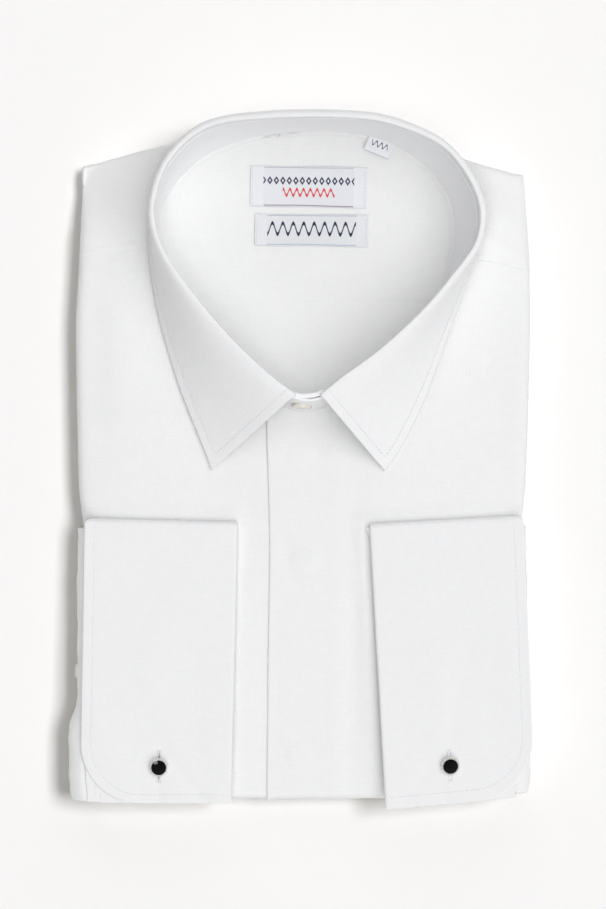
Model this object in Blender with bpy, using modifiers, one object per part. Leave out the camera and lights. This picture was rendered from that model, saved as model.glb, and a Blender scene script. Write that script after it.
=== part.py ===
"""A long sleeve dress shirt with double cuffs, folded for the shelf and lying on its back.

Metres, +Z up, +X to the wearer's left, +Y towards the collar. The named sizes below are in millimetres.
Each piece of cloth is a grid moved onto the garment's form and given its wall by Solidify.
"""

import math

import bmesh
import bpy
import numpy as np

MM = 0.001
# The middle of the sizes below, which the garment is moved to.
CENTRE_X = 0.2
CENTRE_Y = 1.2

# The walls. A cloth wall stands for its turned and fused plies.
CLOTH_WALL = 1.5
PLACKET_WALL = 1.7
COLLAR_WALL = 1.6
CUFF_WALL = 1.0
SLEEVE_WALL = 2.0
LABEL_WALL = 1.0
SEAM_GAP = 0.3

# The folded body: the fronts' top face, the height where its outer fold turns under, and that fold's reach.
CLOTH_TOP = 21.8
FOLD_HEIGHT = 10.0
SIDE_FOLD = 7.0
END_FOLD = 6.0
BOTTOM_EDGE = -157.0

# Side folds of the body, from the bottom edge to the shoulder.
SIDE_COLUMNS = ("y", "right_side", "left_side")
SIDES = (
    (-157.0, -100.5, 102.5),
    (-28.0, -100.8, 102.6),
    (-16.0, -102.8, 104.8),
    (28.0, -103.9, 106.4),
    (65.0, -104.4, 107.2),
    (93.0, -102.6, 106.8),
    (136.0, -101.0, 104.0),
)

# Fold over the shoulders, from the wearer's right to left.
SHOULDER_COLUMNS = ("x", "y")
SHOULDERS = (
    (-101.5, 136.0),
    (-90.0, 140.0),
    (-61.0, 147.5),
    (-20.0, 156.0),
    (35.0, 155.0),
    (61.0, 146.5),
    (79.0, 139.5),
    (104.5, 132.3),
)

# Seam between the fronts and the outer yoke.
YOKE_SEAM_COLUMNS = ("x", "y")
YOKE_SEAM = (
    (-103.0, 93.4),
    (-89.0, 96.2),
    (-62.0, 98.9),
    (71.0, 94.6),
    (93.0, 91.1),
    (107.0, 86.6),
)
INNER_YOKE_SEAM = 74.5

# The collar's sections, round from the wearer's right point to the left one: where the band is sewn to the
# neck, the inner edge of the fold, and the leaf's outer edge.
COLLAR_COLUMNS = (
    "seam_x", "seam_y", "fold_x", "fold_y", "fold_z", "edge_x", "edge_y", "edge_z", "bulge",
)
COLLAR = (
    (-3.0, 24.6, -1.5, 30.1, 52.0, -41.0, -4.3, 23.9, 1.0),
    (-14.0, 31.4, -12.5, 38.3, 52.5, -45.0, 6.5, 23.9, 1.5),
    (-27.6, 42.7, -27.4, 52.1, 53.0, -51.1, 21.5, 23.9, 2.0),
    (-40.1, 57.0, -40.0, 66.0, 53.5, -57.5, 39.0, 23.9, 2.5),
    (-54.0, 80.0, -55.0, 85.0, 54.8, -66.0, 69.0, 23.9, 3.0),
    (-62.5, 99.0, -63.4, 101.0, 56.0, -70.0, 97.0, 23.9, 2.5),
    (-64.2, 114.4, -65.0, 117.0, 56.5, -69.4, 116.0, 23.9, 2.0),
    (-54.5, 131.0, -57.5, 136.0, 57.3, -63.2, 138.5, 23.9, 1.5),
    (-38.0, 143.3, -40.5, 149.6, 58.2, -46.0, 156.4, 17.0, 1.0),
    (-13.0, 150.5, -13.0, 153.4, 59.3, -14.0, 162.0, 14.0, 1.0),
    (20.0, 151.4, 21.0, 153.6, 59.5, 21.5, 162.2, 14.0, 1.0),
    (42.0, 146.3, 43.0, 150.2, 59.0, 46.5, 158.4, 15.0, 1.0),
    (60.0, 133.5, 65.5, 139.5, 58.1, 70.5, 145.4, 21.5, 1.5),
    (70.0, 117.5, 79.3, 119.0, 57.0, 86.0, 120.0, 23.9, 2.0),
    (71.0, 99.0, 79.4, 100.0, 56.0, 84.0, 99.5, 23.9, 2.0),
    (66.0, 78.5, 67.5, 82.4, 55.2, 76.6, 79.5, 23.9, 2.5),
    (50.5, 58.8, 53.2, 66.0, 54.5, 69.2, 59.0, 23.9, 2.5),
    (32.4, 40.9, 35.2, 49.8, 53.5, 58.2, 29.0, 23.9, 2.0),
    (18.5, 30.4, 19.0, 38.0, 52.6, 47.5, 7.0, 23.9, 1.5),
    (8.0, 25.0, 9.1, 29.8, 52.0, 39.4, -4.9, 23.9, 1.0),
)
# Places along the table's rows: the middle of the back and where the neck closes at the front.
NECK_BACK = 9.6
NECK_FRONT = len(COLLAR) - 0.45
BAND_FOOT = CLOTH_TOP + 2 * SEAM_GAP
# The band stops below the fold. Its ends lap by so many rows, the under one inward and the upper one outward.
BAND_SHARE = 0.88
UNDER_LAP = 1.75
UPPER_LAP = 0.525
LAP_INWARD = 2.2
LAP_OUTWARD = 0.2
# The leaf's fold: its lip inside the band's line, then over a crest and down to where the leaf falls away.
LIP_GAP = 0.02
LIP_ROWS = 0.1
FOLD_ROWS = 0.35
FOLD_WIDTH = 4.2
FOLD_DROP = 1.2
FOLD_CREST = 1.3
BULGE_SHARE = 0.6

# The placket of the left front, the line beneath it where the two fronts meet, and the neck's lowest point.
PLACKET_EDGE = -14.6
PLACKET_BACK = 17.6
PLACKET_TOP = 21.5
PANEL_SPLIT = 8.0
PANEL_TUCK = 2.6
NECK_TUCK = 1.1
NECK_FOOT = 23.0
NECK_HOOK = 3.0
FRONT_ROWS_BELOW_NECK = 0.6
SEAM_BEND_FROM = 40.0
BACK_FOOT = 25.0

# The yokes: rows of the collar's table that face the outer yoke's start, its two corners and its end.
YOKE_STOPS = (5.02, 6.4, 13.2, 14.25)
YOKE_SIDE_STEPS = 5
INNER_YOKE_TOP = 150.2
INNER_YOKE_INSET = 1.5 * SEAM_GAP

# The hidden layers: three bulging folds below the fronts' turn, then the inside of the fronts.
CORE_INSET = CLOTH_WALL + SEAM_GAP
CORE_SIDE_GAP = 0.9
CORE_CORNER = 8.0
CORE_BENDS = (-120.0, -74.0, -27.0, -14.0, 8.0, 30.0, 65.0, 92.0, 115.0)
LAYERS = 3
LAYER_INSET = 0.6
LAYER_BULGE = 1.5
FOOT_INSET = 2.1

# The double cuffs: corners of the turned-back leaf, and the link's place.
CUFF_COLUMNS = (
    "hand_top_x", "hand_top_y", "free_top_x", "free_top_y",
    "hand_end_x", "hand_end_y", "free_end_x", "free_end_y", "link_x", "link_y",
)
CUFFS = {
    "right": (-29.1, -28.5, -99.1, -26.9, -32.0, -157.2, -101.0, -157.4, -64.7, -140.5),
    "left": (32.5, -29.4, 103.0, -25.6, 39.8, -160.2, 107.8, -156.4, 68.2, -139.6),
}
CUFF_BASE = CLOTH_TOP + SEAM_GAP
CUFF_LIFT = 3.8
OUTER_LEAF = 2.15
INNER_LEAF = 0.75
CORNER_RADIUS = 28.0
CUFF_WIDTH = 70.0
CUFF_LENGTH = 130.0
WRIST_SEAM = 0.87
UNDER_LEAF = 0.90
# Shares of the grid where the corner's arc, the flat leaf and the hand fold end, and the wrist fold's rows.
CUFF_COLUMNS_AT = (5 / 15, 8 / 15, 10 / 15)
WRIST_FOLD_ROWS = 2 / 14

# Sleeves: how far each stretch stands out at the side, along the cuff.
SLEEVE_COLUMNS = ("y", "right_side", "left_side")
SLEEVES = (
    (-28.5, -103.7, 105.4),
    (-95.0, -103.8, 106.0),
    (-116.0, -104.2, 106.5),
    (-122.0, -106.6, 106.7),
    (-150.0, -106.8, 106.6),
    (-156.0, -105.0, 105.0),
)
SLEEVE_FOOT = 2.0
SLEEVE_TURN = 5.5
SLEEVE_TUCK = 0.8
# Shares of the cuff's length where the stretch starts and ends, and of its grid where the turn does.
SLEEVE_SPAN = (0.035, 0.97)
SLEEVE_TURN_AT = (0.2, 0.6)

# Fastenings.
BUTTON_DIAMETER = 9.5
BUTTON_HEIGHT = 2.2
BUTTON_TURN = len(COLLAR) - 0.42
BUTTON_LEVEL = 0.58
SLEEVE_BUTTON_DIAMETER = 7.5
SLEEVE_BUTTON_HEIGHT = 1.6
SLEEVE_BUTTON_FACE = -103.8
SLEEVE_BUTTON_Y = -98.0
SLEEVE_BUTTON_Z = 14.0
LINK_ALONG = 0.86
LINK_GAP = 0.45
BEZEL_DIAMETER = 8.8
BEZEL_HEIGHT = 2.2
STONE_DIAMETER = 7.1
STONE_HEIGHT = 0.9
POST_DIAMETER = 2.0
POST_HOLE = 2.8
TOGGLE_LENGTH = 13.0
TOGGLE_WIDTH = 4.0
TOGGLE_HEIGHT = 2.8
STONE_GAP = 0.05
HOLE_DEPTH = 12.0
FINE_VERTICES = 10
BEZEL_EDGE = 0.6
STONE_EDGE = 0.5
BUTTON_EDGE = 0.4

# Neck labels: centre, length, height and turn in degrees.
LABEL_COLUMNS = ("x", "y", "length", "height", "turn")
LABELS = {
    "label_main": (4.1, 126.6, 54.0, 18.6, -1.1),
    "label_second": (5.4, 106.5, 52.6, 14.5, -0.8),
    "label_size": (36.4, 141.2, 11.5, 9.0, -22.0),
}

CLOTH = ((0.86, 0.87, 0.88, 1.0), 0.85, 0.0)
CRISP_CLOTH = ((0.86, 0.875, 0.90, 1.0), 0.8, 0.0)
LABEL = ((0.55, 0.60, 0.70, 1.0), 0.6, 0.0)
BUTTON = ((0.80, 0.76, 0.66, 1.0), 0.3, 0.0)
SILVER = ((0.75, 0.75, 0.76, 1.0), 0.2, 1.0)
BLACK = ((0.01, 0.01, 0.012, 1.0), 0.15, 0.0)


def column(rows, columns, name):
    return np.array([row[columns.index(name)] for row in rows])


def table_line(rows, columns, along, across):
    """A function through a table's rows: the value of one column at a value of another."""
    at = column(rows, columns, along)
    to = column(rows, columns, across)
    return lambda value: np.interp(value, at, to)


right_side = table_line(SIDES, SIDE_COLUMNS, "y", "right_side")
left_side = table_line(SIDES, SIDE_COLUMNS, "y", "left_side")
shoulder = table_line(SHOULDERS, SHOULDER_COLUMNS, "x", "y")
yoke_seam = table_line(YOKE_SEAM, YOKE_SEAM_COLUMNS, "x", "y")


def collar_section(turn, closed=True):
    """The collar's row at a fractional index, by Catmull-Rom. Closed, the last row meets the first."""
    rows = np.array(COLLAR)
    count = len(rows)
    step = math.floor(turn) if closed else min(math.floor(turn), count - 2)
    t = turn - step
    before, start, end, after = (rows[(step + k) % count] for k in (-1, 0, 1, 2))
    if not closed and step == 0:
        before = 2 * start - end
    if not closed and step == count - 2:
        after = 2 * end - start
    bend = 3 * start - before - 3 * end + after
    swing = 2 * before - 5 * start + 4 * end - after
    return start + 0.5 * (t * (end - before) + t * t * swing + t * t * t * bend)


def neck_side(low, high, y):
    """The neck seam's X at a Y, between two collar rows where its Y only rises or only falls."""
    turns = np.linspace(low, high, 80)
    seam = np.array([collar_section(turn)[:2] for turn in turns])
    order = np.argsort(seam[:, 1])
    return float(np.interp(y, seam[order, 1], seam[order, 0]))


def neck_right(y):
    return neck_side(NECK_FRONT - len(COLLAR), NECK_BACK, y)


def neck_left(y):
    return neck_side(NECK_BACK, NECK_FRONT, y)


def rounded(distance, reach):
    """Quarter ellipse over a fold: 0 at its edge, 1 from the given reach inwards."""
    t = min(max(distance / reach, 1e-4), 1.0)
    return math.sqrt(1 - (1 - t) ** 2)


def body_height(x, y):
    """The folded body's outer face: flat, rounded down to the fold height at the sides and both ends."""
    side = min(x - right_side(y), left_side(y) - x)
    end = min(y - BOTTOM_EDGE, shoulder(x) - y)
    return FOLD_HEIGHT + (CLOTH_TOP - FOLD_HEIGHT) * rounded(side, SIDE_FOLD) * rounded(end, END_FOLD)


def on_body(x, y, lift=0.0):
    """A point of the body's outer face, moved out from it by the lift."""
    step = 0.02
    slope_x = (body_height(x + step, y) - body_height(x - step, y)) / (2 * step)
    slope_y = (body_height(x, y + step) - body_height(x, y - step)) / (2 * step)
    normal = np.array((-slope_x, -slope_y, 1.0))
    normal /= np.linalg.norm(normal)
    return np.array((x, y, body_height(x, y))) + lift * normal


def towards_fold(share, length, reach, curved=0.45):
    """Distance from a fold's edge for a share of the way to it, in even steps round the curved part."""
    if share < 1 - curved:
        return length - (length - reach) * share / (1 - curved)
    return reach * (1 - math.sin(math.pi / 2 * (share - 1 + curved) / curved))


def material(name, finish):
    colour, roughness, metallic = finish
    made = bpy.data.materials.new(name)
    made.use_nodes = True
    shader = made.node_tree.nodes["Principled BSDF"]
    shader.inputs["Base Color"].default_value = colour
    shader.inputs["Roughness"].default_value = roughness
    shader.inputs["Metallic"].default_value = metallic
    return made


def add_object(name, mesh, finish, collection):
    made = bpy.data.objects.new(name, mesh)
    mesh.materials.append(material(name, finish))
    collection.objects.link(made)
    return made


def cloth(name, across, along, place, wall, finish, inward=True):
    """A grid moved by place(u, v), in mm, with its wall to the inner side of the face, or to both."""
    bm = bmesh.new()
    bmesh.ops.create_grid(bm, x_segments=across, y_segments=along, size=0.5)
    for vert in bm.verts:
        u = vert.co.x + 0.5
        v = vert.co.y + 0.5
        vert.co = [value * MM for value in place(u, v)]
    mesh = bpy.data.meshes.new(name)
    bm.to_mesh(mesh)
    bm.free()
    mesh.shade_smooth()
    made = add_object(name, mesh, finish, shirt)
    solid = made.modifiers.new("Wall", "SOLIDIFY")
    solid.thickness = wall * MM
    solid.offset = -1.0 if inward else 0.0
    solid.use_even_offset = False
    return made


def into(collection, made, name, finish):
    made.name = name
    made.data.name = name
    made.data.materials.append(material(name, finish))
    for old in list(made.users_collection):
        old.objects.unlink(made)
    collection.objects.link(made)
    return made


def turned(name, radius, depth, foot, finish, collection, vertices=20):
    """An upright disc or pin, its foot at the given place."""
    x, y, z = foot
    bpy.ops.mesh.primitive_cylinder_add(
        vertices=vertices,
        radius=radius * MM,
        depth=depth * MM,
        location=(x * MM, y * MM, (z + depth / 2) * MM),
    )
    return into(collection, bpy.context.object, name, finish)


def block(name, size, foot, finish):
    """A box of the given size, the middle of its underside at the given place."""
    x, y, z = foot
    bpy.ops.mesh.primitive_cube_add(size=1.0, location=(x * MM, y * MM, (z + size[2] / 2) * MM))
    made = bpy.context.object
    made.scale = [value * MM for value in size]
    return into(shirt, made, name, finish)


def helper(made):
    made.hide_render = True
    made.display_type = "WIRE"


def bevel(made, width, segments):
    edge = made.modifiers.new("Edge", "BEVEL")
    edge.width = width * MM
    edge.segments = segments
    edge.limit_method = "ANGLE"


def cut(made, other, operation):
    boolean = made.modifiers.new("Join", "BOOLEAN")
    boolean.operation = operation
    boolean.object = other


# --- the hidden layers ---

def core_ring(inset):
    """Points round the body's outline, moved in by the inset: its corners rounded, its sides' bends kept."""
    ring = []
    half_y = 0.5 * (shoulder(0) - BOTTOM_EDGE)
    half_x = 0.5 * (left_side(0) - right_side(0))
    corner_s = CORE_CORNER / half_x
    corner_t = CORE_CORNER / half_y
    bends = [2 * (y - BOTTOM_EDGE) / (shoulder(104.0) - BOTTOM_EDGE) - 1 for y in CORE_BENDS]
    spans = np.linspace(-1 + corner_s, 1 - corner_s, 9)[1:-1]
    sides = (
        [(1, t) for t in bends],
        [(s, 1) for s in spans[::-1]],
        [(-1, t) for t in bends[::-1]],
        [(s, -1) for s in spans],
    )
    for k, side in enumerate(sides):
        turn = math.pi / 2 * k
        centre_s = math.copysign(1 - corner_s, math.cos(turn + math.pi / 4))
        centre_t = math.copysign(1 - corner_t, math.sin(turn + math.pi / 4))
        arc = [turn + math.pi / 2 * step / 3 for step in range(4)]
        corner = [(centre_s + corner_s * math.cos(a), centre_t + corner_t * math.sin(a)) for a in arc]
        ring += side + corner
    placed = []
    for s, t in ring:
        s *= 1 - inset / half_x
        t *= 1 - inset / half_y
        x = s * half_x
        for _ in range(3):
            y = BOTTOM_EDGE + (t + 1) / 2 * (shoulder(x) - BOTTOM_EDGE)
            x = right_side(y) + (s + 1) / 2 * (left_side(y) - right_side(y))
        placed.append((x, y))
    return placed


def core_levels():
    """Height and inset of each ring: bulging layers below the outer fold, then its inside, rounded over."""
    layer = (FOLD_HEIGHT - LAYER_INSET) / LAYERS
    levels = [(0.0, FOOT_INSET)]
    for k in range(LAYERS):
        levels.append(((k + 0.3) * layer, LAYER_INSET))
        levels.append(((k + 0.75) * layer, LAYER_INSET))
        levels.append(((k + 1) * layer, LAYER_INSET + LAYER_BULGE))
    top = CLOTH_TOP - CORE_INSET
    for angle in np.radians((6, 35, 65, 89)):
        height = FOLD_HEIGHT + (top - FOLD_HEIGHT) * math.sin(angle)
        levels.append((height, CORE_INSET + CORE_SIDE_GAP + SIDE_FOLD * (1 - math.cos(angle))))
    return levels


def build_core():
    bm = bmesh.new()
    rings = []
    for height, inset in core_levels():
        rings.append([bm.verts.new((x * MM, y * MM, height * MM)) for x, y in core_ring(inset)])
    for low, high in zip(rings, rings[1:]):
        for k in range(len(low)):
            m = (k + 1) % len(low)
            bm.faces.new((low[k], low[m], high[m], high[k]))
    bm.faces.new(reversed(rings[0]))
    bm.faces.new(rings[-1])
    mesh = bpy.data.meshes.new("folded_layers")
    bm.to_mesh(mesh)
    bm.free()
    return add_object("folded_layers", mesh, CLOTH, shirt)


# --- the body's panels ---


def front_place(side, u, v):
    """A front's face: u from the placket to the side fold, v from the bottom fold to the yoke's seam."""
    edge, neck, sign = (right_side, neck_right, -1) if side == "right" else (left_side, neck_left, 1)
    seam_end = float(yoke_seam(edge(90.0)))
    if v < FRONT_ROWS_BELOW_NECK:
        share = 1 - v / FRONT_ROWS_BELOW_NECK
        y = BOTTOM_EDGE + towards_fold(share, NECK_FOOT - BOTTOM_EDGE, END_FOLD, 0.4)
        inner = PANEL_SPLIT + sign * SEAM_GAP / 2
    else:
        share = (v - FRONT_ROWS_BELOW_NECK) / (1 - FRONT_ROWS_BELOW_NECK)
        y = NECK_FOOT + share * (seam_end - NECK_FOOT)
        inner = neck(max(y, NECK_FOOT + NECK_HOOK)) + sign * PANEL_TUCK
        if share == 0:
            inner = PANEL_SPLIT + sign * SEAM_GAP / 2
    x = edge(y) + sign * -towards_fold(u, abs(edge(y) - inner), SIDE_FOLD)
    rise = max(0.0, (y - SEAM_BEND_FROM) / (seam_end - SEAM_BEND_FROM)) ** 2
    y += rise * (yoke_seam(x) - SEAM_GAP / 2 - seam_end)
    return on_body(x, y)


def build_fronts():
    cloth("front_right", 9, 20, lambda u, v: front_place("right", 1 - u, v), CLOTH_WALL, CLOTH)
    cloth("front_left", 9, 20, lambda u, v: front_place("left", u, v), CLOTH_WALL, CLOTH)


def placket_place(u, v):
    x = PLACKET_EDGE + u * (PLACKET_BACK - PLACKET_EDGE)
    y = BOTTOM_EDGE + towards_fold(1 - v, PLACKET_TOP - BOTTOM_EDGE, END_FOLD, 0.3)
    return on_body(x, y, SEAM_GAP + PLACKET_WALL)


def build_placket():
    cloth("placket", 4, 16, placket_place, PLACKET_WALL, CLOTH)


def yoke_outline():
    """Outer path of the yoke: up the right side, along the shoulders and down the left side."""
    shoulder_x = column(SHOULDERS, SHOULDER_COLUMNS, "x")
    shoulder_y = column(SHOULDERS, SHOULDER_COLUMNS, "y")
    seam_y = column(YOKE_SEAM, YOKE_SEAM_COLUMNS, "y")
    corner = 0.6
    rise = np.linspace(seam_y[0] + SEAM_GAP / 2, shoulder_y[0] - SEAM_GAP / 2, YOKE_SIDE_STEPS)
    along = np.linspace(shoulder_x[0] + corner, shoulder_x[-1] - corner, 19)
    fall = np.linspace(shoulder_y[-1] + SEAM_GAP / 2, seam_y[-1] + 2 * SEAM_GAP, YOKE_SIDE_STEPS + 1)
    rows = [(right_side(y), y) for y in rise]
    rows += [(x, shoulder(x)) for x in along]
    rows += [(left_side(y), y) for y in fall]
    return np.array(rows)


def build_yokes():
    outline = yoke_outline()
    last = len(outline) - 1
    at = (0, YOKE_SIDE_STEPS, last - YOKE_SIDE_STEPS, last)

    def outer_place(u, v):
        k = u * last
        turn = np.interp(k, at, YOKE_STOPS)
        inner = collar_section(turn)[:2]
        outer = np.array([np.interp(k, range(last + 1), outline[:, axis]) for axis in (0, 1)])
        way = outer - inner
        length = np.linalg.norm(way)
        share = (length - towards_fold(v, length, min(SIDE_FOLD, 0.6 * length))) / length
        tuck = NECK_TUCK / length
        x, y = inner + way * (tuck + share * (1 - tuck))
        at_seam = max(0.0, 1 - k, k - last + 1)
        y += at_seam * (yoke_seam(x) + SEAM_GAP / 2 - y)
        return on_body(x, y)

    cloth("yoke_outer", last, 6, outer_place, CLOTH_WALL, CLOTH)

    def inner_place(u, v):
        low_y = INNER_YOKE_SEAM + SEAM_GAP
        y = low_y + math.sin(math.pi / 2 * v) * (INNER_YOKE_TOP - low_y)
        low = neck_right(y) + INNER_YOKE_INSET
        high = neck_left(y) - INNER_YOKE_INSET
        return (low + u * (high - low), y, CLOTH_TOP)

    cloth("yoke_inner", 6, 10, inner_place, CLOTH_WALL, CLOTH)


def build_back():
    def place(u, v):
        y = BACK_FOOT + v * (INNER_YOKE_SEAM - BACK_FOOT)
        low = neck_right(y) + INNER_YOKE_INSET
        high = neck_left(y) - INNER_YOKE_INSET
        return (low + u * (high - low), y, CLOTH_TOP)

    cloth("back_panel", 6, 6, place, CLOTH_WALL, CLOTH)


# --- the collar ---


def collar_frame(turn, closed=True):
    """Foot, fold and outer edge of a section, and the level way out from the neck."""
    section = dict(zip(COLLAR_COLUMNS, collar_section(turn, closed)))
    foot = np.array((section["seam_x"], section["seam_y"], BAND_FOOT))
    fold = np.array((section["fold_x"], section["fold_y"], section["fold_z"]))
    edge = np.array((section["edge_x"], section["edge_y"], section["edge_z"]))
    ahead = collar_section(turn + 0.05)[:2] - collar_section(turn - 0.05)[:2]
    out = np.array((-ahead[1], ahead[0], 0.0))
    out /= np.linalg.norm(out)
    return foot, fold, edge, out, section["bulge"]


def build_band():
    count = len(COLLAR)
    start = -UNDER_LAP
    end = count + UPPER_LAP

    def place(u, v):
        turn = start + u * (end - start)
        foot, fold, _, out, _ = collar_frame(turn)
        inward = np.interp(turn, (-0.6, 1.2), (1.0, 0.0))
        outward = np.interp(turn, (count - 2.2, count - 0.4), (0.0, 1.0))
        shift = LAP_OUTWARD * outward - LAP_INWARD * inward
        return foot + v * BAND_SHARE * (fold - foot) + shift * out

    cloth("collar_band", 44, 3, place, COLLAR_WALL, CRISP_CLOTH)


def build_leaf():
    last = len(COLLAR) - 1

    def place(u, v):
        foot, fold, edge, out, bulge = collar_frame(u * last, closed=False)
        lip = foot + (BAND_SHARE + LIP_GAP) * (fold - foot)
        fall = edge - fold
        fall[2] = 0.0
        fall /= np.linalg.norm(fall)
        lean = 0.5 * out + 0.5 * fall
        lean /= np.linalg.norm(lean)
        turned_down = fold + FOLD_WIDTH * lean + np.array((0.0, 0.0, -FOLD_DROP))
        if v < LIP_ROWS:
            return lip + v / LIP_ROWS * (fold - lip)
        if v < FOLD_ROWS:
            t = (v - LIP_ROWS) / (FOLD_ROWS - LIP_ROWS)
            crest = math.sin(math.pi * t) * FOLD_CREST
            return fold + t * (turned_down - fold) + np.array((0.0, 0.0, crest))
        t = (v - FOLD_ROWS) / (1 - FOLD_ROWS)
        swell = BULGE_SHARE * bulge * math.sin(math.pi * t)
        return turned_down + t * (edge - turned_down) + swell * (out + np.array((0.0, 0.0, 1.0)))

    cloth("collar_leaf", 38, 9, place, COLLAR_WALL, CRISP_CLOTH)


# --- the cuffs and sleeves ---


def cuff_point(side, across, along):
    """A point of the cuff's flat outline: 0 to 1 from the hand fold out, 0 to 1 from the wrist fold down."""
    corner = dict(zip(CUFF_COLUMNS, CUFFS[side]))
    hand_top = np.array((corner["hand_top_x"], corner["hand_top_y"]))
    free_top = np.array((corner["free_top_x"], corner["free_top_y"]))
    hand_end = np.array((corner["hand_end_x"], corner["hand_end_y"]))
    free_end = np.array((corner["free_end_x"], corner["free_end_y"]))
    top = hand_top + across * (free_top - hand_top)
    end = hand_end + across * (free_end - hand_end)
    return top + along * (end - top)


def cuff_middle(along):
    return CUFF_BASE + OUTER_LEAF + CUFF_WALL / 2 + CUFF_LIFT * along


def cuff_profile(u, free):
    """Share of the width and level, from the free edge over the arc, round the hand fold and back."""
    turn = (OUTER_LEAF - INNER_LEAF) / 2
    middle = (OUTER_LEAF + INNER_LEAF) / 2
    arc, flat, fold = CUFF_COLUMNS_AT
    if u < arc:
        from_edge = CORNER_RADIUS * (1 - math.cos(math.pi / 2 * u / arc))
        return free - from_edge / CUFF_WIDTH, OUTER_LEAF
    if u < flat:
        start = free - CORNER_RADIUS / CUFF_WIDTH
        return start + (turn / CUFF_WIDTH - start) * (u - arc) / (flat - arc), OUTER_LEAF
    if u < fold:
        angle = math.pi * (u - flat) / (fold - flat)
        return turn * (1 - math.sin(angle)) / CUFF_WIDTH, middle + turn * math.cos(angle)
    return turn / CUFF_WIDTH + (WRIST_SEAM - turn / CUFF_WIDTH) * (u - fold) / (1 - fold), INNER_LEAF


def build_cuff(side):
    """A flattened tube: u from the turned-back leaf's free edge to the wrist seam, v round the wrist fold."""

    def place(u, v):
        free = 1.0 if v > 0.5 else UNDER_LEAF
        across, spread = cuff_profile(u, free)
        into_corner = 0.0
        if u < CUFF_COLUMNS_AT[0]:
            into_corner = max(0.0, CORNER_RADIUS - (free - across) * CUFF_WIDTH)
        far = 1 - (CORNER_RADIUS - math.sqrt(CORNER_RADIUS**2 - into_corner**2)) / CUFF_LENGTH
        near = OUTER_LEAF / CUFF_LENGTH
        away = abs(2 * v - 1)
        if away > WRIST_FOLD_ROWS:
            along = near + (far - near) * (away - WRIST_FOLD_ROWS) / (1 - WRIST_FOLD_ROWS)
            level = 1.0
        else:
            angle = math.pi / 2 * away / WRIST_FOLD_ROWS
            along = near - spread / CUFF_LENGTH * math.cos(angle)
            level = math.sin(angle)
        x, y = cuff_point(side, across, along)
        return (x, y, cuff_middle(along) + math.copysign(level * spread, v - 0.5))

    return cloth(f"cuff_{side}", 15, 14, place, CUFF_WALL, CRISP_CLOTH, inward=False)


def build_sleeve(side):
    sign = -1 if side == "right" else 1
    stands_out = table_line(SLEEVES[::-1], SLEEVE_COLUMNS, "y", f"{side}_side")

    def place(u, v):
        along = SLEEVE_SPAN[0] + (SLEEVE_SPAN[1] - SLEEVE_SPAN[0]) * (1 - v)
        seam_x, y = cuff_point(side, WRIST_SEAM, along)
        top = cuff_middle(along)
        outer = stands_out(y) - sign * SLEEVE_WALL / 2
        inner = seam_x + sign * 2 * SEAM_GAP
        turn = SLEEVE_TURN
        starts, ends = SLEEVE_TURN_AT
        if u < starts:
            return (inner + u / starts * (outer - sign * turn - inner), y, top)
        if u < ends:
            angle = math.pi / 2 * (u - starts) / (ends - starts)
            return (outer - sign * turn * (1 - math.sin(angle)), y, top - turn * (1 - math.cos(angle)))
        share = (u - ends) / (1 - ends)
        tuck = SLEEVE_TUCK * share**2
        return (outer - sign * tuck, y, top - turn - share * (top - turn - SLEEVE_FOOT))

    cloth(f"sleeve_{side}", 10, 10, place, SLEEVE_WALL, CLOTH, inward=False)


# --- fastenings and labels ---


def build_link(side, cuff):
    corner = dict(zip(CUFF_COLUMNS, CUFFS[side]))
    x, y = corner["link_x"], corner["link_y"]
    middle = cuff_middle(LINK_ALONG)
    top = middle + OUTER_LEAF + CUFF_WALL / 2
    under = middle - OUTER_LEAF - CUFF_WALL / 2
    hole_foot = (x, y, middle - HOLE_DEPTH / 2)
    hole = turned(f"hole_{side}", POST_HOLE / 2, HOLE_DEPTH, hole_foot, SILVER, helpers, FINE_VERTICES)
    helper(hole)
    cut(cuff, hole, "DIFFERENCE")
    base = top + LINK_GAP
    bezel = turned(f"cufflink_{side}_bezel", BEZEL_DIAMETER / 2, BEZEL_HEIGHT, (x, y, base), SILVER, shirt)
    bevel(bezel, BEZEL_EDGE, 1)
    stone_foot = (x, y, base + BEZEL_HEIGHT + STONE_GAP)
    face = turned(f"cufflink_{side}_face", STONE_DIAMETER / 2, STONE_HEIGHT, stone_foot, BLACK, shirt)
    bevel(face, STONE_EDGE, 1)
    toggle_foot = under - LINK_GAP - TOGGLE_HEIGHT
    toggle_size = (TOGGLE_WIDTH, TOGGLE_LENGTH, TOGGLE_HEIGHT)
    toggle = block(f"cufflink_{side}_toggle", toggle_size, (x, y, toggle_foot), SILVER)
    low = toggle_foot + TOGGLE_HEIGHT / 2
    length = base - SEAM_GAP - low
    post = turned(f"post_{side}", POST_DIAMETER / 2, length, (x, y, low), SILVER, helpers, FINE_VERTICES)
    helper(post)
    cut(toggle, post, "UNION")


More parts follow.
